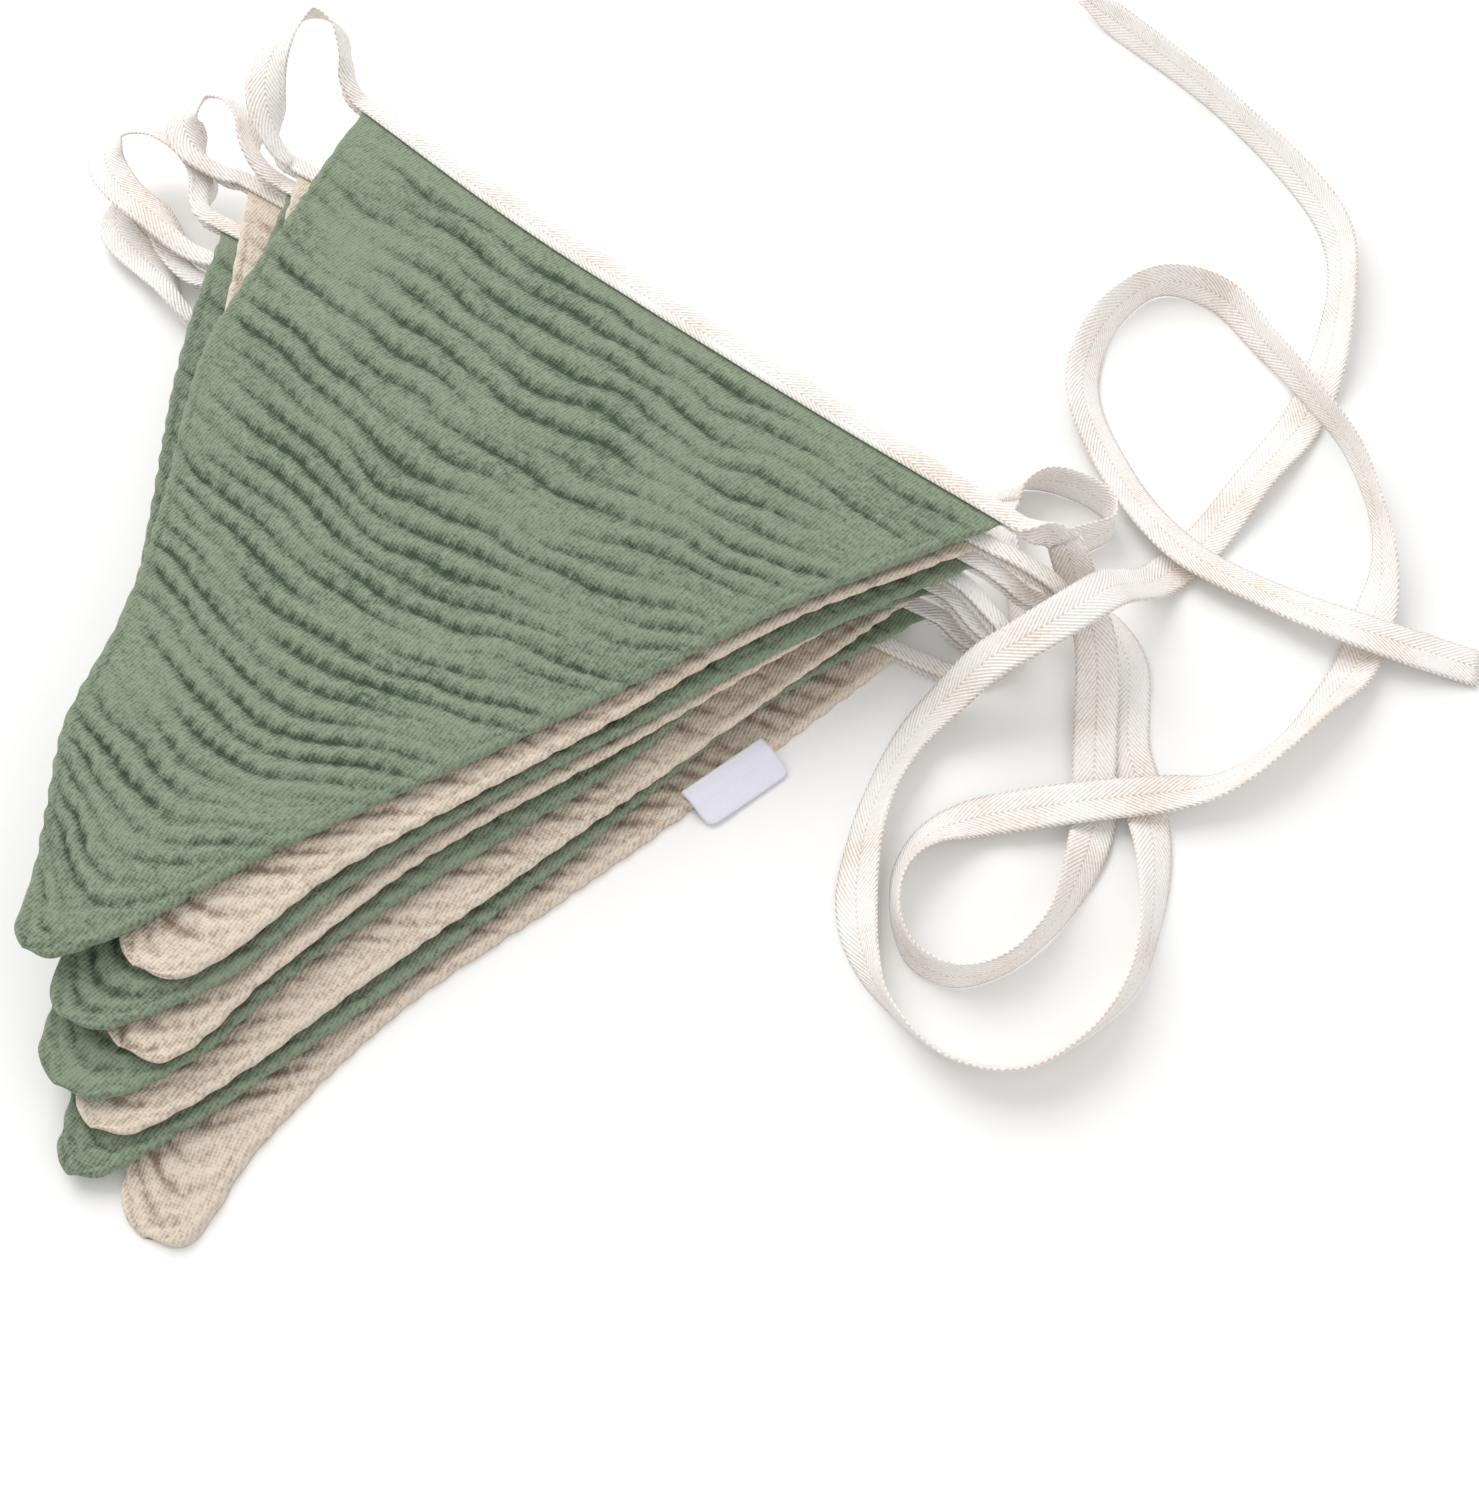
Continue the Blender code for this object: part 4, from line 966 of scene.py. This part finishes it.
def gauze_paint(name, colour, shade_tone, pitch):
    """Double gauze: fine ribs and picks, mottled dye, and painted shade that darkens the creases and the seam."""
    paint = Paint(name)
    across, along = paint.cloth_place()
    turn = 2.0 * math.pi / pitch
    fine = paint.noise(1100.0, 2.0)
    mottled = paint.noise(760.0, 3.0)
    cloudy = paint.noise(45.0, 2.0)
    ribs = (across * turn + mottled * 4.0).sine()
    picks = (along * (turn * 1.3) + fine * 5.0).sine()
    threads = ribs * 0.12 + picks * 0.06 + (fine - 0.5) * 0.7
    # Painted shade: the crease attribute darkens the dye towards the shade tone in creases and along the seam;
    # thread tone, mottling and clouds vary it
    crease = paint.node("ShaderNodeAttribute", {"attribute_name": "crease"}, {}, "Fac")
    shade = (crease * 0.85 + 0.22 - threads - (mottled - 0.5) * 0.7 + (cloudy - 0.5) * 0.5).ease(0.0, 1.0)
    body = paint.dyed(colour, 1.12, cloudy)
    paint.raise_by(threads + mottled * 0.5, GAUZE_RELIEF, 0.7)
    return paint.finish(paint.blend(shade, body, (*shade_tone, 1.0)), fine * 0.1 + 0.84, 0.15)


def tape_paint(name, colour, shadow, stitched):
    """Herringbone tape: slanted ribs that turn back at its middle, with a sewn line of small dents if stitched."""
    paint = Paint(name)
    across, along = paint.cloth_place()
    half = 2.0 * TAPE_SLANT
    slant = (across + half).zigzag(2.0 * half)
    fine = paint.noise(1300.0, 2.0)
    cloudy = paint.noise(55.0, 3.0)
    ribs = ((along + slant * 1.5) * (2.0 * math.pi / TAPE_RIB) + fine * 1.5).sine()
    groove = 1.0 - (across + half).zigzag(half).ease(0.0, SPINE_HALF)
    relief = ribs * 0.5 - groove * 0.4 + fine * 0.35
    # Painted shade: tan between the ribs, in the middle groove and in soft cloudy patches, with fine random flecks
    painted_shade = 0.24 - ribs * 0.28 + groove * 0.2 + (fine - 0.5) * 0.8 + (cloudy - 0.5) * 1.3
    if stitched:
        line = 1.0 - (across.absolute() - STITCH_LINE).absolute().ease(*STITCH_HALF)
        dash = (along * (2.0 * math.pi / STITCH_PITCH)).sine().ease(-0.35, 0.1)
        relief = relief - line * dash * 0.7
        # Painted shade in the stitch dents
        painted_shade = painted_shade + line * dash * 0.12
    paint.raise_by(relief, TAPE_RELIEF, 0.7)
    body = paint.dyed(colour, 1.04, cloudy)
    return paint.finish(paint.blend(painted_shade.ease(0.0, 1.0), body, (*shadow, 1.0)), fine * 0.1 + 0.76, 0.2)


def satin_paint(name, colour, shadow):
    """Woven label: close ribs along it and a soft shine."""
    paint = Paint(name)
    across, along = paint.cloth_place()
    fine = paint.noise(1500.0, 2.0)
    ribs = (along * (2.0 * math.pi / SATIN_RIB) + fine * 0.8).sine() * 0.6 + (across * SATIN_WARP).sine() * 0.25
    # Painted shade between the satin's ribs, with fine random flecks
    painted_shade = (1.0 - ribs.ease(-0.8, 0.8)) * 0.3 + fine * 0.12
    paint.raise_by(ribs + fine * 0.4, SATIN_RELIEF, 0.45)
    return paint.finish(paint.blend(painted_shade, (*colour, 1.0), (*shadow, 1.0)), fine * 0.12 + 0.46, 0.1)


def floor_paint(name, colour):
    """Pale studio paper with the faintest grain."""
    paint = Paint(name)
    grain = paint.noise(220.0, 3.0)
    soft = tuple(part * 0.985 for part in colour) + (1.0,)
    paint.raise_by(grain, PAPER_RELIEF, 0.1)
    return paint.finish(paint.blend(grain, (*colour, 1.0), soft), grain * 0.05 + 0.9, 0.0)


def keep(piece, material, node):
    """The piece rides on the frame, stands for its solid and takes the given finish."""
    piece.data.materials.append(material)
    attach(piece, "root")
    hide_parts(node)


class BuntingCloth(PropertyGroup):
    sage: FloatVectorProperty(name="Sage", description="Dye of the odd pennants",
                              default=(0.240, 0.293, 0.204), **COLOUR)
    # Painted shade: the sage falls to this tone in the creases and along the seam
    sage_shade_tone: FloatVectorProperty(name="Sage creases", description="Tone down in the sage creases",
                                  default=(0.050, 0.076, 0.045), **COLOUR)
    beige: FloatVectorProperty(name="Beige", description="Dye of the even pennants",
                               default=(0.710, 0.612, 0.506), **COLOUR)
    # Painted shade: the beige falls to this tone in the creases and along the seam
    beige_shade_tone: FloatVectorProperty(name="Beige creases", description="Tone down in the beige creases",
                                   default=(0.300, 0.225, 0.165), **COLOUR)
    weave: FloatProperty(name="Weave pitch", description="Distance between the gauze's ribs", subtype="DISTANCE",
                         default=0.00085, min=0.0003, max=0.002)
    width: FloatProperty(name="Cut width", description="Width of one pennant before it was folded",
                         subtype="DISTANCE", default=0.205, min=0.1, max=0.4)
    height: FloatProperty(name="Cut height", description="Height of one pennant before it was folded",
                          subtype="DISTANCE", default=0.215, min=0.1, max=0.4)


class BuntingTape(PropertyGroup):
    cream: FloatVectorProperty(name="Cream", description="Undyed cotton of the tape",
                               default=(0.950, 0.925, 0.905), **COLOUR)
    # Tan of the painted shade on the tape: between its ribs, in its groove and stitch dents and in soft patches
    tan: FloatVectorProperty(name="Tan", description="Tone between the tape's ribs",
                             default=(0.660, 0.520, 0.400), **COLOUR)
    width: FloatProperty(name="Width", description="Width of the tape", subtype="DISTANCE",
                         default=TAPE_WIDTH * MM, min=0.005, max=0.03)
    label: FloatVectorProperty(name="Label", description="Satin of the bare label",
                               default=(0.830, 0.820, 0.900), **COLOUR)
    # Tone of the painted shade between the label's ribs
    label_shade: FloatVectorProperty(name="Label shade", description="Tone between the label's ribs",
                                     default=(0.560, 0.550, 0.660), **COLOUR)


class BuntingStage(PropertyGroup):
    floor: FloatVectorProperty(name="Floor", description="Colour of the studio floor",
                               default=(0.900, 0.895, 0.885), **COLOUR)
    key: FloatProperty(name="Key light", description="Power of the large soft light", subtype="POWER",
                       unit="POWER", default=14.0, min=0.0, max=500.0)
    fill: FloatProperty(name="Fill light", description="Power of the low light from the right", subtype="POWER",
                        unit="POWER", default=2.0, min=0.0, max=500.0)
    sky: FloatProperty(name="Room light", description="Strength of the even light from all round", default=0.74,
                       min=0.0, max=5.0)


class BUNTING_OT_stage(Operator):
    """Camera of the photograph, soft studio lights and a plain pale floor"""
    bl_idname = "bunting.stage"
    bl_label = "Stage"

    def execute(self, context):
        stage = context.scene.bunting_stage
        lens = bpy.data.cameras.new("photo_camera")
        lens.lens = CAMERA_LENS
        lens.sensor_width = CAMERA_SENSOR
        camera = bpy.data.objects.new("photo_camera", lens)
        camera.location = (-CENTRE[0] * MM, -CENTRE[1] * MM, CAMERA_HEIGHT * MM)
        camera.rotation_euler = (CAMERA_TILT, 0.0, 0.0)
        context.scene.collection.objects.link(camera)
        context.scene.camera = camera
        for name, size, place, turn in LIGHTS:
            light = bpy.data.lights.new(f"{name}_light", "AREA")
            light.energy = getattr(stage, name)
            light.size = size
            lamp = bpy.data.objects.new(f"{name}_light", light)
            lamp.location = place
            lamp.rotation_euler = tuple(math.radians(angle) for angle in turn)
            context.scene.collection.objects.link(lamp)
        world = bpy.data.worlds.new("studio")
        world.use_nodes = True
        background = world.node_tree.nodes["Background"]
        background.inputs["Color"].default_value = (1.0, 1.0, 1.0, 1.0)
        background.inputs["Strength"].default_value = stage.sky
        context.scene.world = world
        context.scene.view_settings.view_transform = "Standard"
        mesh = bpy.data.meshes.new("studio_floor")
        signs = ((-1, -1), (1, -1), (1, 1), (-1, 1))
        mesh.from_pydata([(x * FLOOR_REACH, y * FLOOR_REACH, FLOOR_LEVEL) for x, y in signs], [], [(0, 1, 2, 3)])
        mesh.materials.append(floor_paint("studio_paper", tuple(stage.floor)))
        floor = bpy.data.objects.new("studio_floor", mesh)
        context.scene.collection.objects.link(floor)
        return {"FINISHED"}


class BUNTING_OT_ties(Operator):
    """The tape's two long free ends, laid beside the stack"""
    bl_idname = "bunting.ties"
    bl_label = "Ties"

    def execute(self, context):
        tape = context.scene.bunting_tape
        paint = tape_paint("tie_tape", tuple(tape.cream), tuple(tape.tan), False)
        for node, table, way, frayed in (("tie_top", TIE_TOP_ROUTE, TOP_JOIN_WAY, True),
                                         ("tie_bottom", TIE_BOTTOM_ROUTE, BOTTOM_JOIN_WAY, False)):
            outer, inner, place, run, centre = tie_surface(table, way, frayed)
            piece = tape_object(f"{node}_ribbon", outer, inner, place, run)
            keep(piece, paint, node)
            path = (centre - CENTRE) * MM
        return {"FINISHED"}


class BUNTING_OT_header(Operator):
    """The sewn tape: folded over the pennants' top edges and looping from one to the next"""
    bl_idname = "bunting.header"
    bl_label = "Header tape"

    def execute(self, context):
        tape = context.scene.bunting_tape
        route = header_route()
        points = route[:, :3]
        points[0] = points[0] - GAP / 2.0 * unit(TOP_JOIN_WAY)
        points[-1] = points[-1] - GAP / 2.0 * unit(BOTTOM_JOIN_WAY)
        axes = tape_frame(points, route[:, 3], -np.array(TOP_JOIN_WAY), BOTTOM_JOIN_WAY)
        axes = face_outwards(points, axes, route[:, 6:8])
        outer, inner, place = ribbon_section(points, axes, route[:, 4], route[:, 5])
        run = path_lengths(points)
        piece = tape_object("header_tape_ribbon", outer, inner, place, run)
        keep(piece, tape_paint("header_tape_cotton", tuple(tape.cream), tuple(tape.tan), True), "header_tape")
        return {"FINISHED"}


class BUNTING_OT_pennants(Operator):
    """The eight double gauze pennants, sage and beige in turn"""
    bl_idname = "bunting.pennants"
    bl_label = "Pennants"

    def execute(self, context):
        cloth = context.scene.bunting_cloth
        sage = gauze_paint("sage_gauze", tuple(cloth.sage), tuple(cloth.sage_shade_tone), cloth.weave)
        beige = gauze_paint("beige_gauze", tuple(cloth.beige), tuple(cloth.beige_shade_tone), cloth.weave)
        for index in range(len(PENNANTS)):
            node = f"pennant_{index + 1}"
            face, back, coordinates, shade_mask = pennant_surface(index)
            piece = cloth_object(f"{node}_gauze", face, back, coordinates, shade_mask, True)
            keep(piece, sage if index % 2 == 0 else beige, node)
        return {"FINISHED"}


class BUNTING_OT_label(Operator):
    """The bare satin label in the bottom pennant's seam"""
    bl_idname = "bunting.label"
    bl_label = "Label"

    def execute(self, context):
        tape = context.scene.bunting_tape
        face, back, coordinates = label_surface()
        piece = cloth_object("label_satin", face, back, coordinates, 0.0 * face[..., 0], False)
        keep(piece, satin_paint("label_satin", tuple(tape.label), tuple(tape.label_shade)), "label")
        return {"FINISHED"}


class BUNTING_PT_panel(Panel):
    """Sizes and colours of the bunting, and its pieces"""
    bl_idname = "BUNTING_PT_panel"
    bl_label = "Fabric bunting"
    bl_space_type = "VIEW_3D"
    bl_region_type = "UI"
    bl_category = "Bunting"

    def draw(self, context):
        for name, group in GROUPS.items():
            box = self.layout.box()
            for field in group.__annotations__:
                box.prop(getattr(context.scene, name), field)
        for operator in OPERATORS:
            self.layout.operator(operator.bl_idname)


OPERATORS = (BUNTING_OT_stage, BUNTING_OT_ties, BUNTING_OT_header, BUNTING_OT_pennants, BUNTING_OT_label)
GROUPS = {"bunting_cloth": BuntingCloth, "bunting_tape": BuntingTape, "bunting_stage": BuntingStage}
CLASSES = (*GROUPS.values(), *OPERATORS, BUNTING_PT_panel)


def register():
    for kind in CLASSES:
        bpy.utils.register_class(kind)
    for name, group in GROUPS.items():
        setattr(bpy.types.Scene, name, PointerProperty(type=group))


def unregister():
    for name in reversed(GROUPS):
        delattr(bpy.types.Scene, name)
    for kind in reversed(CLASSES):
        bpy.utils.unregister_class(kind)


def corners(bounds):
    return [[float(number) for number in corner] for corner in bounds]


def main():
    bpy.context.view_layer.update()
    register()
    bpy.ops.bunting.stage()
    bpy.ops.bunting.ties()
    bpy.ops.bunting.header()
    bpy.ops.bunting.pennants()
    bpy.ops.bunting.label()
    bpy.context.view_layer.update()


if __name__ == "__main__":
    main()
